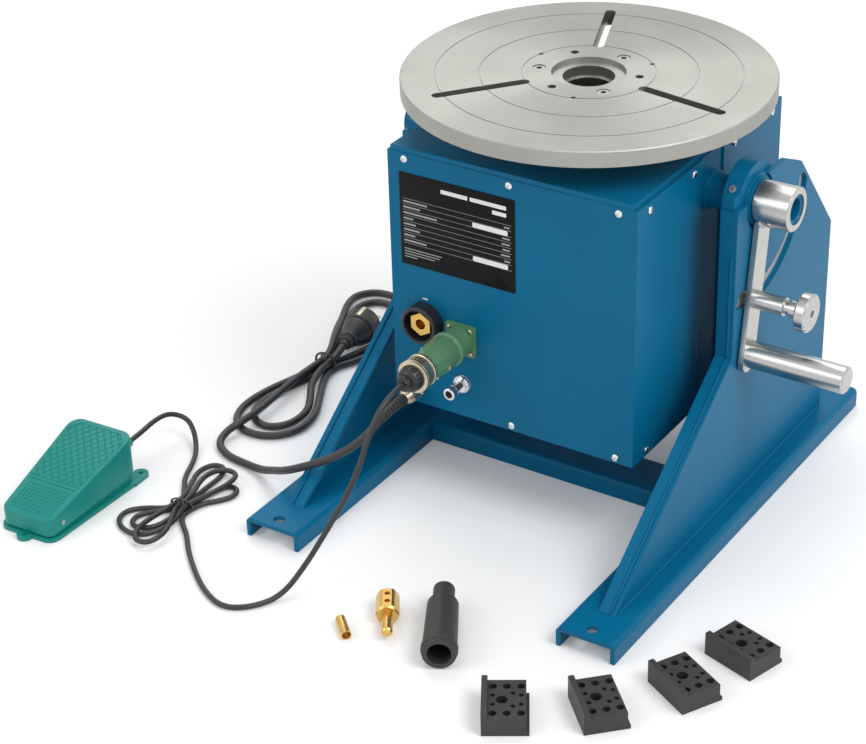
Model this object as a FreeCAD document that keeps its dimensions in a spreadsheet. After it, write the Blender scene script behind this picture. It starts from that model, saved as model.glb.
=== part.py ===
import FreeCAD, Part
import math
import os
import Sketcher

# A bench welding positioner: a powered turntable whose head tilts between two
# uprights.  Lengths are millimetres.  X runs along the tilt axis towards the
# lever, Y runs to the rear, Z is up.  The origin is the centre of the table's
# face, and the floor lies one table height below it.

V = FreeCAD.Vector
doc = FreeCAD.newDocument("welding_positioner")
sheet = doc.addObject("Spreadsheet::Sheet", "Sizes")
X_AXIS = V(1, 0, 0)
Y_AXIS = V(0, 1, 0)
Z_AXIS = V(0, 0, 1)


# ---------------------------------------------------------------- sizes

def formula_of(item):
    return item.formula if isinstance(item, Size) else "(%r)" % float(item)


class Size:
    """A number that remembers the spreadsheet formula it comes from."""

    def __init__(self, value, formula):
        self.value = float(value)
        self.formula = formula

    def __float__(self):
        return self.value

    def __add__(self, other):
        return Size(self.value + float(other), "(%s + %s)" % (self.formula, formula_of(other)))

    def __sub__(self, other):
        return Size(self.value - float(other), "(%s - %s)" % (self.formula, formula_of(other)))

    def __mul__(self, other):
        return Size(self.value * float(other), "(%s * %s)" % (self.formula, formula_of(other)))

    def __truediv__(self, other):
        return Size(self.value / float(other), "(%s / %s)" % (self.formula, formula_of(other)))

    def __radd__(self, other):
        return self + other

    def __rmul__(self, other):
        return self * other

    def __rsub__(self, other):
        return self * -1 + other

    def __neg__(self):
        return self * -1


def size(name, value):
    """Write one driving dimension into the next row of the sheet."""
    row = size.rows = getattr(size, "rows", 0) + 1
    sheet.set("A%d" % row, name)
    sheet.set("B%d" % row, str(value))
    sheet.setAlias("B%d" % row, name)
    return Size(value, "Sizes." + name)


# Work table
table_rise = size("table_rise", 101)
table_diameter = size("table_diameter", 400)
table_thickness = size("table_thickness", 17.5)
recess_diameter = size("recess_diameter", 80)
recess_depth = size("recess_depth", 5)
bore_diameter = size("bore_diameter", 56)
groove_width = size("groove_width", 1.2)
groove_depth = size("groove_depth", 0.6)
inner_groove_radius = size("inner_groove_radius", 71)
middle_groove_radius = size("middle_groove_radius", 116)
outer_groove_radius = size("outer_groove_radius", 163)
slot_width = size("slot_width", 12)
slot_inner_end = size("slot_inner_end", 67)
slot_outer_end = size("slot_outer_end", 175)
slot_angle = size("slot_angle", 111.5)
table_screw_circle = size("table_screw_circle", 108)
table_screw_angle = size("table_screw_angle", 76)
table_screw_shank = size("table_screw_shank", 8)
table_screw_head = size("table_screw_head", 13)
table_hole_diameter = size("table_hole_diameter", 9)
table_hole_angle = size("table_hole_angle", 15.5)
pin_hole_diameter = size("pin_hole_diameter", 5)
pin_hole_circle = size("pin_hole_circle", 140)
pin_hole_angle = size("pin_hole_angle", 46.5)

# Tilt axis
axis_height = size("axis_height", 366)
axle_diameter = size("axle_diameter", 38)
axle_bore = size("axle_bore", 24)
axle_collar_diameter = size("axle_collar_diameter", 44)
running_gap = size("running_gap", 0.04)

# Base: two channel feet and a cross channel
foot_spacing = size("foot_spacing", 390.6)
foot_width = size("foot_width", 68)
foot_depth = size("foot_depth", 23)
foot_front = size("foot_front", 344)
foot_rear = size("foot_rear", 242)
channel_wall = size("channel_wall", 5)
channel_bend = size("channel_bend", 6)
anchor_hole = size("anchor_hole", 13)
anchor_inset = size("anchor_inset", 14.5)
cross_width = size("cross_width", 61)
cross_front = size("cross_front", 76)

# Uprights
upright_width = size("upright_width", 20)
upright_plate_wall = size("upright_plate_wall", 6)
strip_wall = size("strip_wall", 5)
upright_toe = size("upright_toe", 300)
upright_front = size("upright_front", 52)
kink_below_axis = size("kink_below_axis", 164)
shoulder_above_axis = size("shoulder_above_axis", 7)
crown_above_axis = size("crown_above_axis", 24)
upright_rear = size("upright_rear", 188)

# Bearing blocks on the uprights
block_radius = size("block_radius", 42)
block_width = size("block_width", 22)
block_boss = size("block_boss", 60)
bush_wall = size("bush_wall", 4)
bush_flange = size("bush_flange", 52)
bush_flange_wall = size("bush_flange_wall", 3)
washer_wall = size("washer_wall", 2.5)

# Index plate and the slot in the upright that shows it
index_radius = size("index_radius", 107)
index_band = size("index_band", 20)
index_margin = size("index_margin", 4)
index_wall = size("index_wall", 4)
window_land = size("window_land", 4)
index_hole = size("index_hole", 6.4)
index_pitch = size("index_pitch", 5)
lever_rest = size("lever_rest", -9)

# Head box
box_width = size("box_width", 298)
box_depth = size("box_depth", 327)
box_height = size("box_height", 300)
cover_wall = size("cover_wall", 1.5)
cover_notch = size("cover_notch", 48)
frame_wall = size("frame_wall", 6)
top_plate_inset = size("top_plate_inset", 4)
cover_screw_head = size("cover_screw_head", 8)
cover_screw_shank = size("cover_screw_shank", 4)

# Spindle
spindle_diameter = size("spindle_diameter", 65)
spindle_bore = size("spindle_bore", 50)
spindle_flange = size("spindle_flange", 130)
spindle_flange_wall = size("spindle_flange_wall", 12)
flange_gap = size("flange_gap", 3.5)
bearing_outer = size("bearing_outer", 100)
bearing_wall = size("bearing_wall", 18)
housing_outer = size("housing_outer", 116)
housing_length = size("housing_length", 94)
housing_proud = size("housing_proud", 25)
gear_module = size("gear_module", 2.5)
gear_teeth = size("gear_teeth", 60)
pinion_teeth = size("pinion_teeth", 18)
gear_width = size("gear_width", 15)
gear_drop = size("gear_drop", 22)
spindle_tail = size("spindle_tail", 42)
tooth_backlash = size("tooth_backlash", 0.9)
ring_diameter = size("ring_diameter", 76)
ring_width = size("ring_width", 14)

# Gear motor and control
motor_diameter = size("motor_diameter", 72)
motor_length = size("motor_length", 112)
gearbox_width = size("gearbox_width", 80)
gearbox_length = size("gearbox_length", 56)
shaft_diameter = size("shaft_diameter", 15)
board_wall = size("board_wall", 1.6)
board_height = size("board_height", 120)

# Lever
hub_diameter = size("hub_diameter", 48)
hub_bore = size("hub_bore", 33)
hub_length = size("hub_length", 41)
arm_width = size("arm_width", 28)
arm_wall = size("arm_wall", 6)
arm_reach = size("arm_reach", 176)
handle_radius = size("handle_radius", 169)
handle_diameter = size("handle_diameter", 30)
handle_length = size("handle_length", 113)
plunger_diameter = size("plunger_diameter", 20)
plunger_nose = size("plunger_nose", 15)
plunger_body_length = size("plunger_body_length", 34)
plunger_nose_length = size("plunger_nose_length", 8)
plunger_travel = size("plunger_travel", 7)
knob_diameter = size("knob_diameter", 42)
knob_width = size("knob_width", 14)
pin_diameter = size("pin_diameter", 6)

plunger_neck = size("plunger_neck", 12)

# Fittings on the front of the head
socket_across = size("socket_across", -61.5)
socket_rise = size("socket_rise", 97)
socket_flange = size("socket_flange", 37)
plug_reach = size("plug_reach", 115)
earth_across = size("earth_across", -107)
earth_rise = size("earth_rise", 106.5)
earth_bore = size("earth_bore", 12)
aux_across = size("aux_across", -61)
aux_rise = size("aux_rise", 41.5)
mains_across = size("mains_across", -120)
mains_rise = size("mains_rise", 19)
mains_reach = size("mains_reach", 30)

# Foot switch
pedal_length = size("pedal_length", 148)
pedal_heel = size("pedal_heel", 62)
pedal_toe = size("pedal_toe", 26)
pedal_wide = size("pedal_wide", 88)
pedal_narrow = size("pedal_narrow", 68)
pedal_base_wall = size("pedal_base_wall", 4)
pedal_shell = size("pedal_shell", 3)
pedal_skirt = size("pedal_skirt", 17)
pedal_flange = size("pedal_flange", 3)
pedal_rear_wall = size("pedal_rear_wall", 44.5)
pedal_x = size("pedal_x", -440)
pedal_y = size("pedal_y", -394)
pedal_turn = size("pedal_turn", 2.5)
pedal_pin_diameter = size("pedal_pin_diameter", 6)
hinge_level = size("hinge_level", 16)
switch_top = size("switch_top", 27)
pedal_play = size("pedal_play", 8.2)
exit_x = size("exit_x", 21)
exit_level = size("exit_level", 37)
pedal_exit = size("pedal_exit", 88)
spring_width = size("spring_width", 14)
spring_wall = size("spring_wall", 1.5)

# Loose pieces
sleeve_diameter = size("sleeve_diameter", 38)
sleeve_length = size("sleeve_length", 110)
rubber_length = size("rubber_length", 62)
rubber_width = size("rubber_width", 44)
rubber_height = size("rubber_height", 20)
plug_diameter = size("plug_diameter", 42)
plug_x = size("plug_x", -353)
plug_y = size("plug_y", 4)

# Cords
mains_diameter = size("mains_diameter", 9)
pedal_cord_diameter = size("pedal_cord_diameter", 6)

doc.recompute()

def polar(radius, angle):
    """The point at a radius and an angle in degrees, tied to the sheet."""
    turn = math.radians(float(angle))
    return (Size(float(radius) * math.cos(turn), "(%s * cos(%s))" % (formula_of(radius), formula_of(angle))),
            Size(float(radius) * math.sin(turn), "(%s * sin(%s))" % (formula_of(radius), formula_of(angle))))


# Places that follow from the sizes
table_height = axis_height + table_rise
ground = -table_height
flange_low = table_height - table_thickness - spindle_flange_wall
housing_top = flange_low - flange_gap
housing_bottom = housing_top - housing_length
box_top = housing_top - housing_proud
box_bottom = box_top - box_height
gear_level = housing_bottom - gear_drop
spindle_foot = gear_level - spindle_tail
socket_level = box_bottom + socket_rise
earth_level = box_bottom + earth_rise
aux_level = box_bottom + aux_rise
mains_level = box_bottom + mains_rise
upright_kink = axis_height - kink_below_axis
upright_shoulder = axis_height + shoulder_above_axis
upright_top = axis_height + crown_above_axis
axis_level = ground + axis_height
plate_outer = foot_spacing / 2 + upright_width / 2
plate_inner = plate_outer - upright_plate_wall
strip_inner = plate_outer - upright_width
box_half = box_width / 2
box_face = box_depth / 2
cheek_outer = box_half - cover_wall - 0.1
cheek_inner = cheek_outer - frame_wall
gear_radius = gear_module * gear_teeth / 2
pinion_radius = gear_module * pinion_teeth / 2
motor_distance = gear_radius + pinion_radius


# ---------------------------------------------------------------- modelling helpers

parts = []


def bind(item, name, value):
    """Give a property a plain number, or tie it to the sheet."""
    if isinstance(value, Size):
        item.setExpression(name, value.formula)
    else:
        item.setExpression(name, None)
        setattr(item, name, value)


def put(item, at, turn=None):
    """Place a piece: numbers and sheet sizes may be mixed."""
    item.Placement = FreeCAD.Placement(V(*[float(value) for value in at]), turn or FreeCAD.Rotation())
    for letter, value in zip("xyz", at):
        if isinstance(value, Size):
            item.setExpression("Placement.Base." + letter, value.formula)


def body(label, at, turn=None):
    """A new PartDesign body, which is one sub-part."""
    piece = doc.addObject("PartDesign::Body", label)
    piece.Label = label
    put(piece, at, turn)
    parts.append(piece)
    return piece


def sketch(piece, plane, lift=0, swing=0, spin=0):
    """A sketch on one of the body's own planes, lifted along the plane's normal.

    The swing turns it about its own x direction and the spin turns it in its plane.
    """
    drawing = piece.newObject("Sketcher::SketchObject", piece.Label + "_sketch")
    origin_plane = [item for item in piece.Origin.OriginFeatures if item.Role == plane + "_Plane"][0]
    drawing.AttachmentSupport = (origin_plane, [""])
    drawing.MapMode = "FlatFace"
    turn = FreeCAD.Rotation(X_AXIS, swing).multiply(FreeCAD.Rotation(Z_AXIS, float(spin)))
    drawing.AttachmentOffset = FreeCAD.Placement(V(0, 0, float(lift)), turn)
    if isinstance(lift, Size):
        drawing.setExpression("AttachmentOffset.Base.z", lift.formula)
    return drawing


def hold(drawing, kind, *data):
    """Add one dimension to a sketch and tie it to the sheet."""
    value = data[-1]
    index = drawing.addConstraint(Sketcher.Constraint(kind, *data[:-1], float(value)))
    if isinstance(value, Size):
        drawing.setExpression("Constraints[%d]" % index, value.formula)


def outline(drawing, points):
    """A closed outline of straight edges through the given points."""
    first = drawing.GeometryCount
    corners = [V(float(across), float(along), 0) for across, along in points]
    for start, end in zip(corners, corners[1:] + corners[:1]):
        drawing.addGeometry(Part.LineSegment(start, end))
    for index, (across, along) in enumerate(points):
        before = first + (index - 1) % len(points)
        drawing.addConstraint(Sketcher.Constraint("Coincident", before, 2, first + index, 1))
        hold(drawing, "DistanceX", -1, 1, first + index, 1, across)
        hold(drawing, "DistanceY", -1, 1, first + index, 1, along)
    return drawing


def rectangle(drawing, left, low, right, high):
    return outline(drawing, [(left, low), (right, low), (right, high), (left, high)])


def circle(drawing, across, along, diameter):
    index = drawing.addGeometry(Part.Circle(V(float(across), float(along), 0), Z_AXIS, float(diameter) / 2))
    hold(drawing, "DistanceX", -1, 1, index, 3, across)
    hold(drawing, "DistanceY", -1, 1, index, 3, along)
    hold(drawing, "Diameter", index, diameter)
    return drawing


def pad(piece, drawing, length, back=False):
    feature = piece.newObject("PartDesign::Pad", piece.Label + "_pad")
    feature.Profile = drawing
    feature.Reversed = back
    bind(feature, "Length", length)
    drawing.Visibility = False
    return feature


def pocket(piece, drawing, depth=None, back=False):
    """Cut a pocket of the given depth, or right through both ways."""
    feature = piece.newObject("PartDesign::Pocket", piece.Label + "_pocket")
    feature.Profile = drawing
    feature.Reversed = back
    if depth is None:
        feature.Type = "ThroughAll"
        feature.Midplane = True
    else:
        bind(feature, "Length", depth)
    return feature


def revolve(piece, drawing, axis, angle=360):
    feature = piece.newObject("PartDesign::Revolution", piece.Label + "_revolution")
    feature.Profile = drawing
    feature.ReferenceAxis = (drawing, [axis])
    bind(feature, "Angle", angle)
    return feature


def groove(piece, drawing, axis, angle=360):
    feature = piece.newObject("PartDesign::Groove", piece.Label + "_groove")
    feature.Profile = drawing
    feature.ReferenceAxis = (drawing, [axis])
    bind(feature, "Angle", angle)
    return feature


def fillet(piece, radius, wanted):
    """Round the edges of the finished shape that the test picks out."""
    doc.recompute()
    base = piece.Tip
    names = ["Edge%d" % (index + 1) for index, edge in enumerate(base.Shape.Edges) if wanted(edge)]
    feature = piece.newObject("PartDesign::Fillet", piece.Label + "_fillet")
    feature.Base = (base, names)
    bind(feature, "Radius", radius)
    return feature


def runs_along(edge, axis):
    """True for a straight edge parallel to the axis."""
    if len(edge.Vertexes) != 2 or edge.Curve.TypeId != "Part::GeomLine":
        return False
    return abs(edge.tangentAt(edge.FirstParameter).dot(axis)) > 0.999


def turned(label, at, profile, axis="V_Axis", turn=None):
    """A piece turned round the body's Z axis (V_Axis) or X axis (H_Axis)."""
    piece = body(label, at, turn)
    revolve(piece, outline(sketch(piece, "XZ"), profile), axis)
    return piece


def solid_piece(label, shape, at=(0, 0, 0), turn=None):
    """A sub-part whose shape is worked out by Part's own functions."""
    piece = doc.addObject("Part::Feature", label)
    piece.Label = label
    piece.Shape = shape
    put(piece, at, turn)
    parts.append(piece)
    return piece


def placed(shape, at, turn=None):
    """A copy of a shape, turned and moved."""
    copy = shape.copy()
    copy.Placement = FreeCAD.Placement(V(*[float(value) for value in at]), turn or FreeCAD.Rotation())
    return copy


def cylinder(diameter, length, at=(0, 0, 0), along=Z_AXIS):
    start = V(*[float(value) for value in at])
    return Part.makeCylinder(float(diameter) / 2, float(length), start, along)


def spun(profile, axis):
    """A solid of revolution: profile points are (along the axis, out from it)."""
    out = Z_AXIS if axis == X_AXIS else X_AXIS
    points = [axis * float(along) + out * float(radius) for along, radius in profile]
    face = Part.Face(Part.makePolygon(points + points[:1]))
    return Part.makeSolid(face.revolve(V(), axis, 360))


def hexagon(across_flats, height, level=0, along=Z_AXIS):
    """A six-sided prism on the given axis."""
    radius = float(across_flats) / math.sqrt(3)
    turns = [math.radians(60 * step + 30) for step in range(7)]
    rim = [V(radius * math.cos(turn), radius * math.sin(turn), 0) for turn in turns]
    prism = Part.Face(Part.makePolygon(rim)).extrude(Z_AXIS * float(height))
    prism.Placement = FreeCAD.Placement(along * float(level), FreeCAD.Rotation(Z_AXIS, along))
    return prism


def brick(low, high):
    """A box between two corners."""
    low, high = [V(*[float(value) for value in corner]) for corner in (low, high)]
    span = high - low
    return Part.makeBox(span.x, span.y, span.z, low)


# ---------------------------------------------------------------- base

def channel_profile(drawing, width):
    """The section of a channel laid open side down."""
    half = width / 2
    inner = half - channel_wall
    web = foot_depth - channel_wall
    return outline(drawing, [(-half, 0), (-half, foot_depth), (half, foot_depth), (half, 0),
                             (inner, 0), (inner, web), (-inner, web), (-inner, 0)])


def make_foot(side, sign):
    """A foot: a folded channel with an anchor hole near each end."""
    foot = body(side + "_foot", (foot_spacing / 2 * sign, foot_rear, ground))
    pad(foot, channel_profile(sketch(foot, "XZ"), foot_width), foot_front + foot_rear)
    fillet(foot, channel_bend, lambda edge: runs_along(edge, Y_AXIS)
           and edge.CenterOfMass.z > float(foot_depth) - 0.1)
    holes = sketch(foot, "XY")
    circle(holes, 0, -anchor_inset, anchor_hole)
    circle(holes, 0, anchor_inset - foot_front - foot_rear, anchor_hole)
    pocket(foot, holes)


def make_cross_channel():
    """The channel that ties the feet together under the head."""
    length = foot_spacing - foot_width
    cross = body("cross_channel", (-length / 2, cross_width / 2 - cross_front, ground))
    pad(cross, channel_profile(sketch(cross, "YZ"), cross_width), length)
    fillet(cross, channel_bend, lambda edge: runs_along(edge, X_AXIS)
           and edge.CenterOfMass.z > float(foot_depth) - 0.1)


# ---------------------------------------------------------------- uprights

def slope_inset(distance):
    """The two ends of the upright's rear slope, moved inwards by a distance."""
    top = upright_top - axis_height
    slope = math.atan2(109.5, float(upright_rear - 99))
    across, down = distance * math.sin(slope), distance * math.cos(slope)
    return (99 - across, top - 18.5 - down), (upright_rear - across, top - 128 - down)


def make_upright_plate(side, sign):
    """An upright's side plate, drawn about the tilt axis, seated on its foot."""
    foot_top = foot_depth - axis_height
    kink = upright_kink - axis_height
    shoulder = upright_shoulder - axis_height
    top = upright_top - axis_height
    start = plate_inner if sign > 0 else -plate_outer
    plate = body(side + "_upright_plate", (start, 0, axis_level))
    profile = [(-upright_toe, foot_top), (-upright_front, kink), (-upright_front, shoulder), (0, shoulder),
               (0, top), (59, top), (99, top - 18.5), (upright_rear, top - 128), (upright_rear, foot_top)]
    pad(plate, outline(sketch(plate, "YZ"), profile), upright_plate_wall)
    pocket(plate, circle(sketch(plate, "YZ"), 0, 0, block_boss))
    if sign > 0:
        window = sketch(plate, "XZ", swing=-24)
        inner = index_radius - index_band / 2
        rectangle(window, -1, -inner - index_band, upright_plate_wall + 1, -inner)
        groove(plate, window, "H_Axis", 24 + 84)
        upper, lower = slope_inset(window_land)
        edge = [(99, top - 18.5), upper, lower, (upright_rear, top - 128)]
        pad(plate, outline(sketch(plate, "YZ"), edge), upright_plate_wall)


def make_upright_strip(side, sign):
    """The bent flat bar welded along the front edge of the side plate."""
    foot_top = foot_depth - axis_height
    kink = upright_kink - axis_height
    shoulder = upright_shoulder - axis_height
    slope = math.atan2(float(upright_kink - foot_depth), float(upright_toe - upright_front))
    down = strip_wall / math.sin(slope)
    drop = strip_wall * math.tan((math.pi / 2 - slope) / 2)
    start = strip_inner if sign > 0 else -plate_inner
    strip = body(side + "_upright_strip", (start, 0, axis_level))
    profile = [(-upright_toe, foot_top), (-upright_front, kink), (-upright_front, shoulder),
               (strip_wall - upright_front, shoulder), (strip_wall - upright_front, kink - drop),
               (down - upright_toe, foot_top)]
    pad(strip, outline(sketch(strip, "YZ"), profile), upright_width - upright_plate_wall)


def make_bearing_block(side, sign):
    """The round block on an upright: a disc, a boss through the plate and a foot on the strip."""
    disc_width = block_width - 3
    start = plate_inner - disc_width if sign > 0 else -plate_inner
    block = body(side + "_bearing_block", (start, 0, axis_level))
    pad(block, circle(sketch(block, "YZ"), 0, 0, block_radius * 2), disc_width)
    reach = block_width if sign > 0 else disc_width + 3
    pad(block, circle(sketch(block, "YZ", 0 if sign > 0 else -3), 0, 0, block_boss), reach)
    foot_start = strip_inner - plate_inner + disc_width if sign > 0 else Size(0, "0")
    shoulder = upright_shoulder - axis_height
    front = rectangle(sketch(block, "YZ", foot_start), 2 - upright_front, shoulder, 0, shoulder + 14)
    pad(block, front, upright_width - upright_plate_wall)
    pocket(block, circle(sketch(block, "YZ"), 0, 0, axle_diameter + bush_wall * 2))
    screw = circle(sketch(block, "XZ", swing=-35), disc_width / 2, 0, 8)
    pocket(block, screw, block_radius * 1.5, back=True)


def make_shoulder_parts():
    """Bushes, set screws and the thrust washer round the axles."""
    inner = axle_diameter / 2 + running_gap
    outer = axle_diameter / 2 + bush_wall
    flange = bush_flange / 2
    face = plate_inner + 3
    end = face + bush_flange_wall
    half = [(face - block_width, inner), (face - block_width, outer), (face, outer), (face, flange),
            (end, flange), (end, inner)]
    bushes = [spun(half, X_AXIS), spun([(-along, out) for along, out in half], X_AXIS)]
    solid_piece("tilt_bushes", Part.makeCompound(bushes), (0, 0, axis_level))
    lean = FreeCAD.Rotation(X_AXIS, 55)
    screw = cylinder(8, block_radius - outer + 1).cut(hexagon(4, 5, block_radius - outer - 4))
    middle = plate_inner - (block_width - 3) / 2
    rise = math.radians(35)
    screws = [placed(screw, (middle * sign, -outer * math.cos(rise), outer * math.sin(rise)), lean)
              for sign in (-1, 1)]
    solid_piece("block_set_screws", Part.makeCompound(screws), (0, 0, axis_level))
    washer = cylinder(bush_flange - 4, washer_wall, along=X_AXIS)
    washer = washer.cut(cylinder(axle_diameter + 0.3, washer_wall, along=X_AXIS))
    solid_piece("thrust_washer", washer, (-end - washer_wall, 0, axis_level))


def make_index_plate():
    """A steel sector with a row of holes for the locking pin."""
    plate = body("index_plate", (plate_inner - index_wall, 0, axis_level))
    band = sketch(plate, "XZ", swing=-21)
    inner = index_radius - index_band / 2 - index_margin
    rectangle(band, 0, -inner - index_band - index_margin * 2, index_wall, -inner)
    revolve(plate, band, "H_Axis", 21 + 86)
    upper, lower = slope_inset(window_land / 4)
    pocket(plate, outline(sketch(plate, "YZ"), [upper, lower, (300, -300), (300, 100)]))
    holes = sketch(plate, "YZ")
    for step in range(-2, 19):
        angle = lever_rest + step * index_pitch
        if float(angle) < 84:
            circle(holes, *polar(index_radius, angle - 90), index_hole)
    pocket(plate, holes)


# ---------------------------------------------------------------- head: frame and covers

def cover_screw_places():
    """Where each cover screw sits, and which way its head faces."""
    places = []
    for level in (box_top - 7, box_bottom + 6.5):
        for across in (-128, 0, 128):
            places.append(((across, -box_face, ground + level), -Y_AXIS))
    for sign in (-1, 1):
        for along, level in ((-137, box_top - 9), (-42, box_top - 9), (-134, box_bottom + 6.5),
                             (49, box_top - 9), (140, box_top - 9), (134, box_bottom + 6.5)):
            places.append(((box_half * sign, along, ground + level), X_AXIS * sign))
        for level in (box_top - 37, box_bottom + 37):
            places.append((((cheek_outer - frame_wall / 2) * sign, box_face, ground + level), Y_AXIS))
    return places


def cover_screw_shanks():
    """The shanks of all cover screws in one compound."""
    depth = float(cover_wall) + 5.5
    shanks = []
    for at, facing in cover_screw_places():
        start = V(*[float(value) for value in at]) - facing * depth
        shanks.append(Part.makeCylinder(float(cover_screw_shank) / 2, depth, start, facing))
    return Part.makeCompound(shanks)


def make_head_frame():
    """Top plate, two cheeks, bottom plate and two rails, welded into one frame."""
    inside = box_face - cover_wall - 0.1
    top = ground + box_top
    low = ground + box_bottom + 3.5
    plates = [brick((-box_half + top_plate_inset, -box_face + 0.5, top),
                    (box_half - top_plate_inset, box_face - 0.5, top + frame_wall)),
              brick((-cheek_outer, -inside, low), (cheek_outer, inside, low + frame_wall))]
    for sign in (-1, 1):
        across = sorted([float(cheek_inner) * sign, float(cheek_outer) * sign])
        plates.append(brick((across[0], -inside, low + frame_wall), (across[1], inside, top)))
        along = sorted([float(inside) * sign, float(inside - frame_wall) * sign])
        plates.append(brick((-cheek_inner, along[0], top - 14), (cheek_inner, along[1], top)))
    frame = plates[0].multiFuse(plates[1:])
    frame = frame.cut(cylinder(housing_outer, 40, (0, 0, top - 10)))
    frame = frame.cut(cylinder(axle_diameter, box_width * 2, (-box_width, 0, axis_level), X_AXIS))
    frame = frame.cut(cover_screw_shanks())
    for hole in range(6):
        across, along = polar(housing_outer / 2 + 10, 60 * hole)
        frame = frame.cut(cylinder(6, 20, (across, along, top - 5)))
    solid_piece("head_frame", frame.removeSplitter())


def make_cover(label, sign):
    """A folded sheet cover that wraps the front (or the rear) half of the frame."""
    cover = body(label, (0, 0, ground + box_bottom))
    edge = axle_collar_diameter / 2 + 1 if sign < 0 else axle_collar_diameter / 2 + 3
    near, far = edge * sign, box_face * sign
    inner = box_half - cover_wall
    floor = far - cover_wall * sign
    profile = [(-box_half, near), (-box_half, far), (box_half, far), (box_half, near),
               (inner, near), (inner, floor), (-inner, floor), (-inner, near)]
    pad(cover, outline(sketch(cover, "XY"), profile), box_top - box_bottom)
    wraps = [place for place in cover_screw_places() if float(place[0][1]) * sign > 0]
    sides = sketch(cover, "YZ")
    for at, facing in wraps:
        if facing.x > 0:
            circle(sides, at[1], at[2] - ground - box_bottom, cover_screw_shank)
    pocket(cover, sides)
    if sign < 0:
        pocket(cover, circle(sketch(cover, "YZ"), 0, axis_height - box_bottom, cover_notch))
    openings = sketch(cover, "XZ")
    for at, facing in wraps:
        if facing.x == 0:
            circle(openings, at[0], at[2] - ground - box_bottom, cover_screw_shank)
    if sign < 0:
        for across, level, opening in ((socket_across, socket_level, 30), (earth_across, earth_level, 38),
                                       (aux_across, aux_level, 12), (mains_across, mains_level, 14)):
            circle(openings, across, level - box_bottom, opening)
    pocket(cover, openings)


def make_cover_screws():
    """Pan head screws, one for every place in the list."""
    radius = cover_screw_shank / 2
    head = cover_screw_head / 2
    depth = cover_wall + 5.5
    half = [(-depth, 0), (-depth, radius), (0, radius), (0, head), (2.2, head - 0.6), (2.2, 0)]
    screw = spun(half, Z_AXIS)
    screws = [placed(screw, at, FreeCAD.Rotation(Z_AXIS, facing)) for at, facing in cover_screw_places()]
    solid_piece("cover_screws", Part.makeCompound(screws))


# ---------------------------------------------------------------- head: axles and lever

def make_axles():
    """Hollow axles welded to the cheeks; the right one ends in a spigot for the lever hub."""
    step = plate_outer + 0.5
    hub_end = step + hub_length - 2
    left_end = plate_outer + washer_wall + 0.3 + 13
    bore, rim = axle_bore / 2, axle_diameter / 2
    weld = axle_collar_diameter / 2
    shared = [(cheek_inner, bore), (cheek_inner, rim), (cheek_outer, rim), (cheek_outer, weld),
              (cheek_outer + 5.5, weld), (cheek_outer + 5.5, rim)]
    spigot = hub_bore / 2
    right = shared + [(step, rim), (step, spigot), (hub_end, spigot), (hub_end, bore)]
    left = shared + [(left_end, rim), (left_end, bore)]
    turned("right_axle", (0, 0, axis_level), right, "H_Axis")
    turned("left_axle", (0, 0, axis_level), left, "H_Axis", FreeCAD.Rotation(Z_AXIS, 180))
    collar = cylinder(axle_diameter + 14, 12, along=X_AXIS).cut(cylinder(axle_diameter, 12, along=X_AXIS))
    collar = collar.cut(cylinder(6, axle_diameter, (6, 0, 0), Z_AXIS))
    solid_piece("axle_collar", collar, (0.5 - left_end, 0, axis_level))


def make_lever():
    """Hub, flat arm, handle and the fixed body of the locking plunger."""
    start = plate_outer + 0.7
    bore, rim = hub_bore / 2, hub_diameter / 2
    lean = FreeCAD.Rotation(X_AXIS, float(lever_rest))
    turned("lever_hub", (start, 0, axis_level),
           [(0, bore), (0, rim - 1), (1, rim), (hub_length - 1, rim), (hub_length, rim - 1), (hub_length, bore)],
           "H_Axis", lean)
    arm = body("lever_arm", (start + 1.5, 0, axis_level), lean)
    flat = sketch(arm, "YZ")
    rectangle(flat, -arm_width / 2, -arm_reach, arm_width / 2, -hub_diameter / 4)
    pad(arm, flat, arm_wall)
    pad(arm, circle(sketch(arm, "YZ"), 0, -arm_reach, arm_width), arm_wall)
    pocket(arm, circle(sketch(arm, "YZ"), 0, 0, hub_diameter))
    pocket(arm, circle(sketch(arm, "YZ"), 0, -index_radius, plunger_neck))
    face = start + 1.5 + arm_wall
    grip = handle_diameter / 2
    offset = lean.multVec(V(0, 0, -float(handle_radius)))
    turned("lever_handle", (face, offset.y, axis_level + offset.z),
           [(0, 0), (0, grip), (handle_length - 2, grip), (handle_length, grip - 2), (handle_length, 0)],
           "H_Axis", lean)
    offset = lean.multVec(V(0, 0, -float(index_radius)))
    at = (face, offset.y, axis_level + offset.z)
    slide = pin_diameter / 2 + running_gap
    neck, outer, nose = plunger_neck / 2, plunger_diameter / 2, plunger_nose / 2
    end = plunger_body_length + plunger_nose_length
    turned("plunger_body", at,
           [(-arm_wall, slide), (-arm_wall, neck), (0, neck), (0, outer), (plunger_body_length, outer),
            (plunger_body_length, nose), (end, nose), (end, slide)], "H_Axis", lean)
    tip = plate_inner + 0.5 - face
    skirt = plunger_body_length + 0.5 + plunger_travel
    floor = end + 1.5 + plunger_travel
    knob = knob_diameter / 2
    pin = pin_diameter / 2
    turned("index_plunger", at,
           [(tip, 0), (tip, pin - 1), (tip + 1.5, pin), (floor, pin), (floor, nose + running_gap),
            (skirt, nose + running_gap), (skirt, outer), (floor + 1, outer), (floor + 1, knob - 2),
            (floor + 3, knob), (floor + knob_width - 2, knob), (floor + knob_width, knob - 2),
            (floor + knob_width, 4), (floor + knob_width - 3, 4), (floor + knob_width - 3, 0)],
           "H_Axis", lean)


# ---------------------------------------------------------------- head: fittings on the front

def fitting(label, across, level, profile):
    """A turned fitting on the front face; its profile is (radius, distance out)."""
    turned(label, (across, -box_face, ground + level), profile, "V_Axis", FreeCAD.Rotation(X_AXIS, 90))


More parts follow.
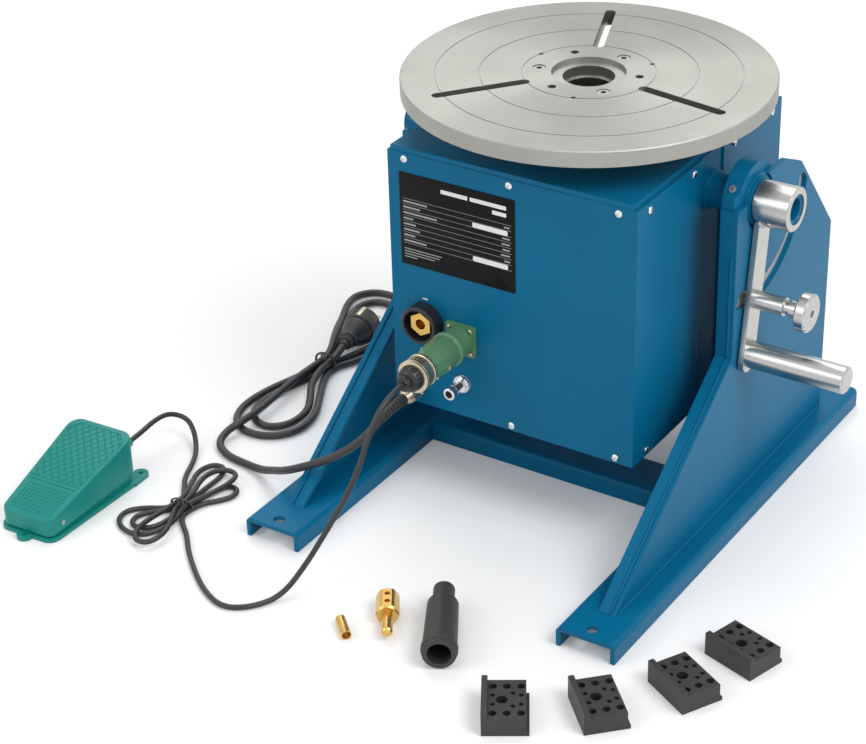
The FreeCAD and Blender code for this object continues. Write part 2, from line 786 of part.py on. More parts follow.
def make_front_fittings():
    """Foot switch socket with its plug, earth socket, auxiliary connector and mains gland."""
    socket = body("pedal_socket", (socket_across, -box_face, ground + socket_level),
                  FreeCAD.Rotation(X_AXIS, 90))
    half = socket_flange / 2
    pad(socket, rectangle(sketch(socket, "XY"), -half, -half, half, half), 4)
    fillet(socket, 3, lambda edge: runs_along(edge, Z_AXIS))
    pad(socket, circle(sketch(socket, "XY", -12), 0, 0, 30), 12)
    pad(socket, circle(sketch(socket, "XY", 4), 0, 0, 33), 21)
    fitting("pedal_plug_shell", socket_across, socket_level,
            [(0, 25), (20, 25), (20, 28), (18, 28.5), (18, 72), (16.5, 75), (0, 75)])
    fitting("plug_coupling", socket_across, socket_level,
            [(0, 75), (17, 75), (19, 76), (19, 94), (17, 96), (0, 96)])
    fitting("plug_gland", socket_across, socket_level,
            [(0, 96), (15, 96), (15, 101), (10, plug_reach), (0, plug_reach)])
    fitting("earth_socket", earth_across, earth_level,
            [(9, -12), (19, -12), (19, 0), (22, 0), (22, 15), (21, 16), (18, 16), (18, 2), (9, 2)])
    insert = cylinder(18, 16, (0, 0, -14)).fuse(hexagon(24, 9, 2)).cut(cylinder(earth_bore, 24, (0, 0, -10)))
    solid_piece("earth_socket_insert", insert.removeSplitter(),
                (earth_across, -box_face, ground + earth_level), FreeCAD.Rotation(X_AXIS, 90))
    fitting("aux_connector", aux_across, aux_level,
            [(0, -8), (6, -8), (6, 0), (10, 0), (10, 4), (8, 5), (8, 16), (7, 17), (7, 30), (0, 30)])
    cord = mains_diameter / 2
    fitting("mains_gland", mains_across, mains_level,
            [(cord, -8), (7, -8), (7, 0), (10, 0), (10, 6), (9, 7), (9, 14), (10.5, 15), (10.5, 24),
             (7, mains_reach), (cord, mains_reach)])


# ---------------------------------------------------------------- head: spindle drive

def gear_outline(teeth, start):
    """Corner points of a spur gear with involute flanks; the first tooth points at start."""
    module, count = float(gear_module), int(float(teeth))
    pitch = module * count / 2
    base = pitch * math.cos(math.radians(20))
    half_pitch = math.pi / (2 * count) - float(tooth_backlash) / (4 * pitch)
    involute = math.tan(math.radians(20)) - math.radians(20)
    radii = [pitch - 1.25 * module, pitch - 0.4 * module, pitch + 0.3 * module, pitch + 0.9 * module]
    halves = []
    for radius in radii:
        pressure = math.acos(min(1, base / radius))
        halves.append(half_pitch + involute - (math.tan(pressure) - pressure))
    points = []
    for tooth in range(count):
        middle = math.radians(start) + 2 * math.pi * tooth / count
        for radius, half in list(zip(radii, halves)) + [(r, -h) for r, h in list(zip(radii, halves))[::-1]]:
            points.append(V(radius * math.cos(middle - half), radius * math.sin(middle - half), 0))
    return points


def spur_gear(teeth, start, width):
    points = gear_outline(teeth, start)
    return Part.Face(Part.makePolygon(points + points[:1])).extrude(Z_AXIS * float(width))


def make_spindle_drive():
    """Spindle in its bearings, driven through a gear pair by a gear motor."""
    top = housing_top
    seat = bearing_outer / 2
    lip = seat - 5
    outer = housing_outer / 2
    plate = box_top
    upper = top - bearing_wall - 6
    lower = housing_bottom + bearing_wall + 4
    turned("bearing_housing", (0, 0, ground),
           [(seat, housing_bottom), (outer, housing_bottom), (outer, plate - 8), (outer + 18, plate - 8),
            (outer + 18, plate), (outer, plate), (outer, top), (seat, top), (seat, upper), (lip, upper),
            (lip, lower), (seat, lower)])
    inner = spindle_diameter / 2 + running_gap
    rings = [cylinder(bearing_outer, bearing_wall, (0, 0, level)).cut(
        cylinder(inner * 2, bearing_wall, (0, 0, level))) for level in (ground + upper, ground + lower
                                                                        - bearing_wall)]
    solid_piece("spindle_bearings", Part.makeCompound(rings))
    shaft, bore = spindle_diameter / 2, spindle_bore / 2
    spindle = turned("spindle", (0, 0, ground),
                     [(bore, spindle_foot), (shaft, spindle_foot), (shaft, upper + bearing_wall + 0.5),
                      (shaft + 5, upper + bearing_wall + 0.5), (shaft + 5, flange_low),
                      (spindle_flange / 2, flange_low), (spindle_flange / 2, table_height - table_thickness),
                      (bore, table_height - table_thickness)])
    threads = sketch(spindle, "XY", flange_low)
    for step in range(3):
        circle(threads, *polar(table_screw_circle / 2, table_screw_angle + 120 * step), table_screw_shank)
    pocket(spindle, threads)
    hub = lower - bearing_wall - 0.4
    gear = spur_gear(gear_teeth, 90, gear_width).fuse(cylinder(spindle_diameter + 20, hub - gear_level))
    gear = gear.cut(cylinder(spindle_diameter, hub - gear_level)).removeSplitter()
    solid_piece("spindle_gear", gear, (0, 0, ground + gear_level))
    land = cylinder(ring_diameter, ring_width).cut(cylinder(spindle_diameter, ring_width))
    solid_piece("slip_ring", land, (0, 0, ground + spindle_foot + 4))
    pinion = spur_gear(pinion_teeth, -90 + 180 / float(pinion_teeth), gear_width + 2)
    pinion = pinion.fuse(cylinder(shaft_diameter, 46, (0, 0, -28))).removeSplitter()
    solid_piece("drive_pinion", pinion, (0, motor_distance, ground + gear_level - 1))


def make_motor():
    """Gear motor hung from a bracket between the cheeks."""
    bracket_low = gear_level - 14
    bracket = body("motor_bracket", (0, motor_distance, ground + bracket_low))
    half = gearbox_width / 2
    pad(bracket, rectangle(sketch(bracket, "XY"), -cheek_inner, -half, cheek_inner, half), 6)
    pocket(bracket, circle(sketch(bracket, "XY"), 0, 0, 30))
    box = brick((-half, -half, -gearbox_length), (half, half, 0))
    motor = cylinder(motor_diameter, motor_length, (0, 0, -gearbox_length - motor_length))
    boss = cylinder(30, 6)
    bore = cylinder(shaft_diameter + 2 * running_gap, 26, (0, 0, -20))
    unit = box.fuse(motor).fuse(boss).cut(bore).removeSplitter()
    solid_piece("gear_motor", unit, (0, motor_distance, ground + bracket_low))


def make_electrics():
    """Control board on the left cheek, and the earth brush on the right one."""
    wall = -cheek_inner
    shelf = float(wall) + 12
    face = shelf + float(board_wall)
    pieces = [brick((shelf, -110, 0), (face, -10, board_height)),
              brick((face, -100, 15), (face + 18, -62, 53)),
              cylinder(24, 30, (face, -38, 30), X_AXIS),
              brick((face, -100, 72), (face + 6, -30, 84))]
    for along in (-104, -16):
        for level in (6, float(board_height) - 6):
            pieces.append(cylinder(7, 12, (wall, along, level), X_AXIS))
    board = pieces[0].multiFuse(pieces[1:]).removeSplitter()
    solid_piece("control_board", board, (0, 0, ground + box_bottom + 51))
    level = float(spindle_foot) + 4 + float(ring_width) / 2
    arm = brick((52, -12, level - 9), (cheek_inner, 12, level + 9))
    brush = brick((30, -6, level - 5), (52, 6, level + 5))
    brush = brush.cut(cylinder(ring_diameter + 2 * running_gap, 20, (0, 0, level - 10)))
    solid_piece("brush_holder", arm.fuse(brush).removeSplitter(), (0, 0, ground))


# ---------------------------------------------------------------- table

def make_table():
    """The round table: sighting grooves, three slots, fixing holes and its cap screws."""
    rim, bore, recess = table_diameter / 2, bore_diameter / 2, recess_diameter / 2
    half = groove_width / 2
    profile = [(bore, -table_thickness), (bore, -recess_depth), (recess, -recess_depth), (recess, 0)]
    for radius in (inner_groove_radius, middle_groove_radius, outer_groove_radius):
        profile += [(radius - half, 0), (radius - half, -groove_depth), (radius + half, -groove_depth),
                    (radius + half, 0)]
    profile += [(rim - 1, 0), (rim, -1), (rim, -table_thickness)]
    table = turned("table_plate", (0, 0, 0), profile)
    holes = sketch(table, "XY")
    wells = sketch(table, "XY")
    for step in range(3):
        circle(holes, *polar(table_screw_circle / 2, table_screw_angle + 120 * step), table_screw_shank)
        circle(holes, *polar(table_screw_circle / 2 + 1, table_hole_angle + 120 * step), table_hole_diameter)
        circle(holes, *polar(pin_hole_circle / 2, pin_hole_angle + 120 * step), pin_hole_diameter)
        circle(wells, *polar(table_screw_circle / 2, table_screw_angle + 120 * step), table_screw_head + 1)
    pocket(table, holes)
    pocket(table, wells, table_screw_shank + 1)
    for turn in range(3):
        spin = slot_angle + 120 * turn
        first, last = slot_inner_end + slot_width / 2, slot_outer_end - slot_width / 2
        middle = sketch(table, "XY", spin=spin)
        rectangle(middle, first, -slot_width / 2, last, slot_width / 2)
        pocket(table, middle)
        for end in (first, last):
            pocket(table, circle(sketch(table, "XY", spin=spin), end, 0, slot_width))
    grip = table_thickness - table_screw_shank - 1 + spindle_flange_wall
    screw = cylinder(table_screw_head, table_screw_shank).fuse(cylinder(table_screw_shank, grip, (0, 0, -grip)))
    screw = screw.cut(hexagon(6, 5, table_screw_shank - 5)).removeSplitter()
    level = -table_screw_shank - 1
    screws = []
    for step in range(3):
        across, along = polar(table_screw_circle / 2, table_screw_angle + 120 * step)
        screws.append(placed(screw, (across, along, level)))
    solid_piece("table_screws", Part.makeCompound(screws))


# ---------------------------------------------------------------- foot switch

def tapered(low, high, inset):
    """The plan of the foot switch as an upright block, narrower at the toe."""
    heel, toe = pedal_wide / 2 - inset, pedal_narrow / 2 - inset
    end = pedal_length / 2 - inset
    plan = [V(float(x), float(y), float(low)) for x, y in ((-toe, -end), (toe, -end), (heel, end), (-heel, end))]
    return Part.Face(Part.makePolygon(plan + plan[:1])).extrude(Z_AXIS * float(high - low))


def wedge(low_toe, low_heel, top_toe, top_heel):
    """The side view of the treadle as a block that reaches past both sides."""
    end = float(pedal_length / 2)
    side = [V(-60, y, float(z)) for y, z in ((-end - 1, low_toe), (end + 1, low_heel), (end + 1, top_heel),
                                             (-end - 1, top_toe))]
    return Part.Face(Part.makePolygon(side + side[:1])).extrude(X_AXIS * 120)


def treadle_level(along):
    """How high the treadle's top is at a place along it."""
    return float(pedal_toe) + float(pedal_heel - pedal_toe) * (along / float(pedal_length) + 0.5)


def make_pedal():
    """Foot switch: a base with hinge lugs and rear wall, and a hollow treadle over it."""
    at = (pedal_x, pedal_y, ground)
    turn = FreeCAD.Rotation(Z_AXIS, float(pedal_turn))
    shell = tapered(Size(0, "0"), pedal_heel + 10, 0).common(wedge(9, pedal_skirt, pedal_toe, pedal_heel))
    shell = shell.makeFillet(6, [edge for edge in shell.Edges if runs_along(edge, Z_AXIS)])
    rim = [edge for edge in shell.Edges if edge.CenterOfMass.z > treadle_level(edge.CenterOfMass.y) - 0.4]
    shell = shell.makeFillet(2.5, rim)
    hollow = tapered(Size(-1, "0"), pedal_heel + 10, pedal_shell)
    hollow = hollow.fuse(brick((-30, 0, -1), (30, pedal_length, pedal_heel + 10)))
    hollow = hollow.common(wedge(-5, -5, pedal_toe - pedal_shell, pedal_heel - pedal_shell))
    hinge_y = 20 - pedal_length / 2
    span = pedal_wide + 20
    pivot = cylinder(pedal_pin_diameter + 0.1, span, (-span / 2, hinge_y, hinge_level), X_AXIS)
    striker = brick((-9, 16, switch_top + pedal_play), (9, 30, pedal_heel - 16))
    treadle = shell.cut(hollow).fuse(striker).cut(pivot)
    treadle = treadle.common(wedge(-5, -5, pedal_toe, pedal_heel)).removeSplitter()
    solid_piece("pedal_treadle", treadle, at, turn)
    gap = pedal_shell + 1.5
    base = tapered(Size(0, "0"), pedal_base_wall, -pedal_flange)
    wall = tapered(Size(0, "0"), pedal_rear_wall, gap).cut(tapered(Size(0, "0"), pedal_rear_wall, gap + 2.5))
    base = base.fuse(wall.common(wedge(-5, -5, 13, 30)))
    rear = float(pedal_length / 2 - gap)
    lugs = pedal_narrow / 2 - 6
    base = base.fuse(brick((-28, rear - 5, 0), (28, rear, pedal_rear_wall)))
    for sign in (-1, 1):
        across = sorted([float(lugs) * sign, float(lugs - 5) * sign])
        base = base.fuse(brick((across[0], hinge_y - 7, 0), (across[1], hinge_y + 7, hinge_level)))
        base = base.fuse(cylinder(14, 5, (across[0], hinge_y, hinge_level), X_AXIS))
    toe = -pedal_length / 2
    for across, along in ((0, toe - 4), (pedal_wide / 2 - 6, pedal_length / 2 + 8)):
        inward = 16 if along.value < 0 else -16
        tab = cylinder(18, pedal_base_wall, (across, along, 0))
        rows = sorted([float(along), float(along) + inward])
        tab = tab.fuse(brick((float(across) - 9, rows[0], 0), (float(across) + 9, rows[1], pedal_base_wall)))
        base = base.fuse(tab).cut(cylinder(6, pedal_base_wall, (across, along, 0)))
    base = base.fuse(cylinder(13, pedal_exit - rear + 5, (exit_x, rear - 5, exit_level), Y_AXIS))
    base = base.cut(cylinder(pedal_pin_diameter, span, (-span / 2, hinge_y, hinge_level), X_AXIS))
    solid_piece("pedal_base", base.removeSplitter(), at, turn)
    pin = cylinder(pedal_pin_diameter, pedal_narrow + 4, (-pedal_narrow / 2 - 2, hinge_y, hinge_level), X_AXIS)
    solid_piece("pedal_pin", pin, at, turn)
    switch = brick((-9, 8, pedal_base_wall), (9, 38, switch_top - 5))
    switch = switch.fuse(cylinder(8, 5, (0, 23, switch_top - 5)))
    solid_piece("pedal_switch", switch.removeSplitter(), at, turn)
    tip = pedal_length / 2 - 12
    under = treadle_level(float(tip)) - float(pedal_shell)
    toe, bend, wall = float(tip) - 54, float(tip) - 26, float(spring_wall)
    side = [(toe, pedal_base_wall), (bend, pedal_base_wall), (tip, under - 2), (tip - 2, under - 1),
            (bend - wall, pedal_base_wall + wall), (toe, pedal_base_wall + wall)]
    points = [V(-28, float(along), float(level)) for along, level in side]
    leaf = Part.Face(Part.makePolygon(points + points[:1])).extrude(X_AXIS * float(spring_width))
    solid_piece("pedal_spring", leaf, at, turn)


# ---------------------------------------------------------------- cords

def cord(label, diameter, points):
    """A cord: straight runs joined by tangent arcs, through points above the floor."""
    corners = [V(float(x), float(y), float(z + ground)) for x, y, z in points]
    edges = []
    start = corners[0]
    for before, corner, after in zip(corners, corners[1:], corners[2:]):
        back, ahead = before - corner, after - corner
        trim = 0.45 * min(back.Length, ahead.Length)
        back.normalize()
        ahead.normalize()
        first, last = corner + back * trim, corner + ahead * trim
        half_turn = (math.pi - back.getAngle(ahead)) / 2
        radius = trim / math.tan(half_turn)
        inward = back + ahead
        inward.normalize()
        centre = corner + inward * (radius / math.cos(half_turn))
        edges.append(Part.LineSegment(start, first).toShape())
        edges.append(Part.Arc(first, centre - inward * radius, last).toShape())
        start = last
    edges.append(Part.LineSegment(start, corners[-1]).toShape())
    heading = corners[1] - corners[0]
    ring = Part.Wire([Part.Circle(corners[0], heading, float(diameter) / 2).toShape()])
    solid_piece(label, Part.Wire(edges).makePipeShell([ring], True, False))


def hank(label, lobes, strand, height):
    """A tied hank of cord: the outer shape of its lobes as flat rings of one height."""
    rings = []
    for lobe in lobes:
        corners = [V(x, y, 0) for x, y in lobe]
        loop = Part.makePolygon(corners + corners[:1])
        outer = Part.Face(loop.makeOffset2D(strand / 2))
        inner = Part.Face(loop.makeOffset2D(-strand / 2))
        rings.append(outer.cut(inner).extrude(Z_AXIS * float(height)))
    solid_piece(label, rings[0].multiFuse(rings[1:]).removeSplitter(), (0, 0, ground))


def make_mains_cord():
    """Mains cord from the gland over the left upright to a tied hank and a plug."""
    z = mains_diameter / 2 + 0.1
    start = -box_face - mains_reach
    cord("mains_lead", mains_diameter,
         [(mains_across, start, mains_level), (mains_across, start - 34, mains_level),
          (-132, -254, 104), (-160, -268, 82), (-194, -275, 68), (-228, -266, 52), (-258, -248, 28),
          (-284, -234, 8), (-312, -228, z), (-340, -224, z), (-358, -208, z), (-366, -182, z),
          (-368, -152, z)])
    hank("mains_hank",
         [[(-360, -4), (-377, -60), (-378, -130), (-364, -154), (-330, -156), (-318, -128), (-338, -60)],
          [(-360, -16), (-342, 10), (-328, 50), (-330, 96), (-350, 140), (-384, 170), (-412, 170),
           (-428, 144), (-418, 90), (-392, 30)]],
         13, mains_diameter * 2)
    centre = plug_diameter / 2
    rim = centre.value
    shell = spun([(22, 0), (22, 9), (30, 9), (30, 12), (36, 12), (44, rim - 3), (50, rim), (84, rim), (84, 0)], X_AXIS)
    shell = placed(shell, (0, 0, rim), FreeCAD.Rotation(Z_AXIS, 90))
    plug = cylinder(mains_diameter, 24, (0, 0, rim), Y_AXIS).fuse(shell)
    for across in (-9.5, 9.5):
        plug = plug.fuse(cylinder(4.8, 19, (across, 84, rim), Y_AXIS))
    solid_piece("mains_plug", plug.removeSplitter(), (plug_x, plug_y, ground), FreeCAD.Rotation(Z_AXIS, 9))


def make_pedal_cord():
    """Foot switch cord from its plug to a small hank, and on to the foot switch."""
    z = pedal_cord_diameter / 2 + 0.1
    start = -box_face - plug_reach
    cord("pedal_lead", pedal_cord_diameter,
         [(socket_across, start, socket_level), (socket_across, start - 30, socket_level),
          (-66, -334, 178), (-71, -348, 140), (-82, -362, 104), (-98, -378, 66), (-114, -394, 30),
          (-127, -416, z), (-140, -444, z), (-162, -462, z), (-194, -455, z), (-230, -430, z),
          (-268, -404, z), (-298, -376, z), (-319, -348, z)])
    hank("pedal_hank",
         [[(-327, -334), (-330, -358), (-356, -380), (-352, -398), (-322, -408), (-314, -380)],
          [(-326, -330), (-313, -300), (-322, -276), (-344, -262), (-352, -276), (-344, -306)]],
         9, pedal_cord_diameter * 2)
    turn = FreeCAD.Rotation(Z_AXIS, float(pedal_turn))
    exit_at = turn.multVec(V(float(exit_x), float(pedal_exit), 0))
    ahead = turn.multVec(V(float(exit_x), float(pedal_exit) + 22, 0))
    x, y = float(pedal_x), float(pedal_y)
    cord("pedal_tail", pedal_cord_diameter,
         [(x + exit_at.x, y + exit_at.y, exit_level), (x + ahead.x, y + ahead.y, exit_level),
          (-424, -254, 40), (-424, -228, 36), (-408, -216, 26), (-392, -224, 12), (-376, -246, z),
          (-356, -272, z)])


# ---------------------------------------------------------------- loose pieces

def make_loose_pieces():
    """Rubber pads for under the feet, and the parts of the earth cable plug."""
    long, short, thick = float(rubber_length), float(rubber_width), float(rubber_height)
    pad_shape = brick((-long / 2, -short / 2, 0), (long / 2, short / 2, thick))
    lip = brick((-long / 2, short / 2 - 6, thick), (long / 2, short / 2, thick + 6))
    ledge = brick((-long / 2, -short / 2 - 3, 0), (long / 2, -short / 2, 4))
    pad_shape = pad_shape.fuse(lip).fuse(ledge)
    holes = [(0, 2, 12)]
    for across in (-1, 1):
        holes += [(21 * across, along, 8) for along in (11, -3, -17)]
        holes += [(7 * across, along, 5) for along in (11, -17)] + [(10 * across, -9, 5)]
    for across, along, wide in holes:
        pad_shape = pad_shape.cut(cylinder(wide, thick + 10, (across, along, 3)))
    pad_shape = pad_shape.removeSplitter()
    places = [(176, -469, 121), (252, -418, 134.6), (308, -345, 151.5), (334, -268, 163.4)]
    pads = [placed(pad_shape, (x, y, 0), FreeCAD.Rotation(Z_AXIS, turn)) for x, y, turn in places]
    solid_piece("rubber_feet", Part.makeCompound(pads), (0, 0, ground))
    outer, reach = sleeve_diameter / 2, sleeve_length
    sleeve = spun([(0, 7), (0, outer - 7.5), (22, outer - 7.5), (24, outer - 4), (27, outer - 2.5),
                   (reach - 14, outer - 1), (reach - 12, outer), (reach - 6, outer), (reach - 5, outer - 1.5),
                   (reach, outer - 1.5), (reach, outer - 6.5), (40, outer - 6.5), (40, 7)], X_AXIS)
    solid_piece("earth_plug_sleeve", sleeve, (27, -344, ground + outer), FreeCAD.Rotation(Z_AXIS, -60))
    tip = earth_bore / 2 - 0.1
    contact = spun([(0, 0), (0, 10.5), (2, 12.4), (32, 12.4), (34, 10.5), (34, 5), (44, 5), (44, tip),
                    (62, tip), (64, tip - 1.5), (64, 0)], X_AXIS)
    contact = contact.common(hexagon(23, 70, -2, X_AXIS))
    for along in (10, 23):
        contact = contact.cut(cylinder(6, 10, (along, 0, 6)))
    solid_piece("earth_plug_contact", contact, (-23, -375, ground + 11.5), FreeCAD.Rotation(Z_AXIS, -57))
    ferrule = cylinder(11, 29, along=X_AXIS).cut(cylinder(9, 29, along=X_AXIS))
    ferrule = ferrule.cut(brick((20, -0.5, 0), (29, 0.5, 6)))
    solid_piece("earth_plug_ferrule", ferrule, (-48, -426, ground + 5.5), FreeCAD.Rotation(Z_AXIS, -43))


# ---------------------------------------------------------------- assembly

make_foot("left", -1)
make_foot("right", 1)
make_cross_channel()
for side, sign in (("left", -1), ("right", 1)):
    make_upright_plate(side, sign)
    make_upright_strip(side, sign)
    make_bearing_block(side, sign)
make_shoulder_parts()
make_index_plate()
make_head_frame()
make_cover("front_cover", -1)
make_cover("rear_cover", 1)
make_cover_screws()
make_axles()
make_lever()
make_front_fittings()
make_spindle_drive()
make_motor()
make_electrics()
make_table()
make_pedal()
make_mains_cord()
make_pedal_cord()
make_loose_pieces()

doc.recompute()
os.makedirs("parts", exist_ok=True)
for item in doc.Objects:
    if "Invalid" in item.State or "Error" in item.State:
        raise RuntimeError("%s did not build: %s" % (item.Label, item.State))
for piece in parts:
    if piece.Shape.isNull() or not piece.Shape.isValid() or not piece.Shape.Solids:
        raise RuntimeError(piece.Label + " has no sound solid")
    piece.Shape.exportStep("parts/%s.step" % piece.Label)
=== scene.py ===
# %% [markdown]
# # A welding positioner, dressed in Blender
# The solids of this machine are already made: a round table on a blue box that tilts
# between two uprights, a foot switch and two tied cords.  This lesson loads them, gives
# each one the finish of the real thing, and models the soft and small pieces that a
# solid model leaves plain.  Everything is in metres.

# %% Load the frame
import math
import bpy
import bmesh
from mathutils import Matrix, Quaternion, Vector


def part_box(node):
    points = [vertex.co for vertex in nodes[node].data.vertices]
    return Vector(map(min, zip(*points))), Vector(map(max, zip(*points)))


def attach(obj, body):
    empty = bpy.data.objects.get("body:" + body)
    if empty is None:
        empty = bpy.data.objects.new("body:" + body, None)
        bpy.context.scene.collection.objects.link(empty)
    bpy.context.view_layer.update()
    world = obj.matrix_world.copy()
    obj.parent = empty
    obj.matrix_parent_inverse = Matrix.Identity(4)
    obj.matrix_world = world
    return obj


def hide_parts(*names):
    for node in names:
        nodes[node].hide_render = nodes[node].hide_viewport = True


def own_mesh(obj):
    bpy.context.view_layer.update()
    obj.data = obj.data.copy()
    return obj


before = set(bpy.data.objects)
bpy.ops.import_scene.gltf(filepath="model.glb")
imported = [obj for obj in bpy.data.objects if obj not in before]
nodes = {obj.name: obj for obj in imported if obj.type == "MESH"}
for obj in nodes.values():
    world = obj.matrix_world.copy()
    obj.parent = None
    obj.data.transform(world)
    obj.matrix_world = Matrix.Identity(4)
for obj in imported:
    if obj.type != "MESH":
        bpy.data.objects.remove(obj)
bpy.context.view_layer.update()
scene = bpy.context.scene
print("loaded", len(nodes), "solids")

# %% [markdown]
# ## Where things are
# The origin is the middle of the table's face, so the floor is one table height below.
# It helps to read the floor from the feet once, and to write places as heights above it.

# %% Floor level and small helpers for places
MM = 0.001
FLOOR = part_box("left_foot")[0][2]


def at(x, y, height):
    """A point in metres from millimetres across, to the rear and above the floor."""
    return Vector((x * MM, y * MM, FLOOR + height * MM))


print("floor at", round(FLOOR, 4))

# %% [markdown]
# ## The camera
# The view is from the front, a little to the left and well above, through a long lens,
# so the sides of the box stay nearly parallel.  The camera is built from its heading,
# its height angle and a slight roll, because those three are easy to read and to change.

# %% Camera
heading, height_angle, roll = math.radians(32.46), math.radians(30.298), math.radians(-1.051)
aim = at(-139.34, 0, 57.41)
distance = 2.76333
forward = Vector((-math.sin(heading) * math.cos(height_angle),
                  math.cos(heading) * math.cos(height_angle), -math.sin(height_angle)))
side = Vector((math.cos(heading), math.sin(heading), 0))
above = side.cross(forward)
turned_side = side * math.cos(roll) + above * math.sin(roll)
turned_above = above * math.cos(roll) - side * math.sin(roll)

camera_data = bpy.data.cameras.new("camera")
camera = bpy.data.objects.new("camera", camera_data)
scene.collection.objects.link(camera)
place = aim - forward * distance
axes = Matrix((turned_side, turned_above, -forward)).transposed()
camera.matrix_world = Matrix.Translation(place) @ axes.to_4x4()
camera_data.lens = 98.23
camera_data.sensor_width = 36
camera_data.shift_x = -0.0576
camera_data.shift_y = 0.0012
scene.camera = camera
print("camera at", [round(value, 3) for value in place])

# %% [markdown]
# ## The two cords
# A cord is one smooth NURBS curve with a round bevel.  Its few control points are where a
# hand would push it: out of the gland, down over the foot, and round through the tied
# hank.  Where one pass crosses another it is lifted by a cord's width, in a long low hump.
# The spline's order and end setting are given after its points, or it stays straight runs.

# %% A helper that lays a cord through its control points
def lay_cord(name, diameter, places):
    """One open NURBS curve with a round section."""
    curve = bpy.data.curves.new(name, "CURVE")
    curve.dimensions = "3D"
    curve.bevel_depth = diameter * MM / 2
    curve.bevel_resolution = 5
    curve.resolution_u = 8
    curve.use_fill_caps = True
    spline = curve.splines.new("NURBS")
    spline.points.add(len(places) - 1)
    for point, place in zip(spline.points, places):
        point.co = (*at(*place), 1)
    spline.order_u = 3
    spline.use_endpoint_u = True
    cord = bpy.data.objects.new(name, curve)
    scene.collection.objects.link(cord)
    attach(cord, "base")
    return cord


def cord_line(cord):
    """The points that a cord's middle really follows, read from its spline."""
    depth, cord.data.bevel_depth = cord.data.bevel_depth, 0
    bpy.context.view_layer.update()
    evaluated = cord.evaluated_get(bpy.context.evaluated_depsgraph_get())
    mesh = bpy.data.meshes.new_from_object(evaluated)
    line = [vertex.co.copy() for vertex in mesh.vertices]
    bpy.data.meshes.remove(mesh)
    cord.data.bevel_depth = depth
    return line


def line_length(line):
    """The length in metres of a line of points."""
    return sum((end - start).length for start, end in zip(line, line[1:]))


# %% The mains cord
mains_places = [
    (-120, -193.5, 128), (-120, -227.5, 128), (-132, -256, 104), (-160, -272, 82), (-194, -280, 64),
    (-228, -274, 44), (-258, -254, 24), (-286, -241, 8), (-316, -235, 4.6), (-342, -232, 4.6),
    (-366, -218, 5.6), (-371, -194, 9), (-362, -172, 14.7), (-361, -146, 14.5), (-364, -104, 14.1),
    (-367, -64, 13.9), (-366, -26, 13.5), (-365.5, -2, 13.2), (-371, 18, 13.9), (-385, 44, 14.5),
    (-400, 72, 10), (-414, 102, 4.6), (-430, 136, 4.6), (-434, 162, 4.6), (-418, 182, 4.6),
    (-390, 186, 4.6), (-358, 168, 4.6), (-334, 124, 4.6), (-327, 70, 4.6), (-336, 24, 4.6),
    (-350, 0, 4.6), (-351, -20, 4.6), (-341, -44, 4.6), (-323, -76, 4.6), (-306, -108, 4.6),
    (-302, -144, 4.6), (-320, -172, 4.6), (-352, -181, 4.6), (-380, -168, 4.6), (-394, -134, 4.6),
    (-390, -90, 4.6), (-377, -48, 4.6), (-370, -18, 4.6), (-370, 2, 4.6), (-376, 26, 4.6),
    (-388, 58, 4.6), (-400, 90, 4.6), (-412, 120, 4.6), (-414, 144, 4.6), (-402, 162, 4.6),
    (-378, 164, 4.6), (-358, 146, 4.6), (-345, 112, 4.6), (-338, 70, 4.6), (-350, 26, 4.6),
    (-360.5, 0, 4.6), (-360.5, -18, 4.6), (-364, -44, 4.6), (-374, -76, 4.6), (-380, -106, 4.6),
    (-377, -134, 4.6), (-360, -155, 4.6), (-336, -158, 4.6), (-319, -138, 4.6), (-319, -106, 4.6),
    (-333, -80, 5.2), (-349, -56, 9.4), (-354.5, -28, 13.2), (-354, -8, 13.6), (-354, 8, 17),
    (-356, 22, 21), (-358, 34, 21),
]
mains_cord = lay_cord("mains_cord", 9, mains_places)
mains_line = cord_line(mains_cord)
print("mains cord", round(line_length(mains_line), 3), "m")

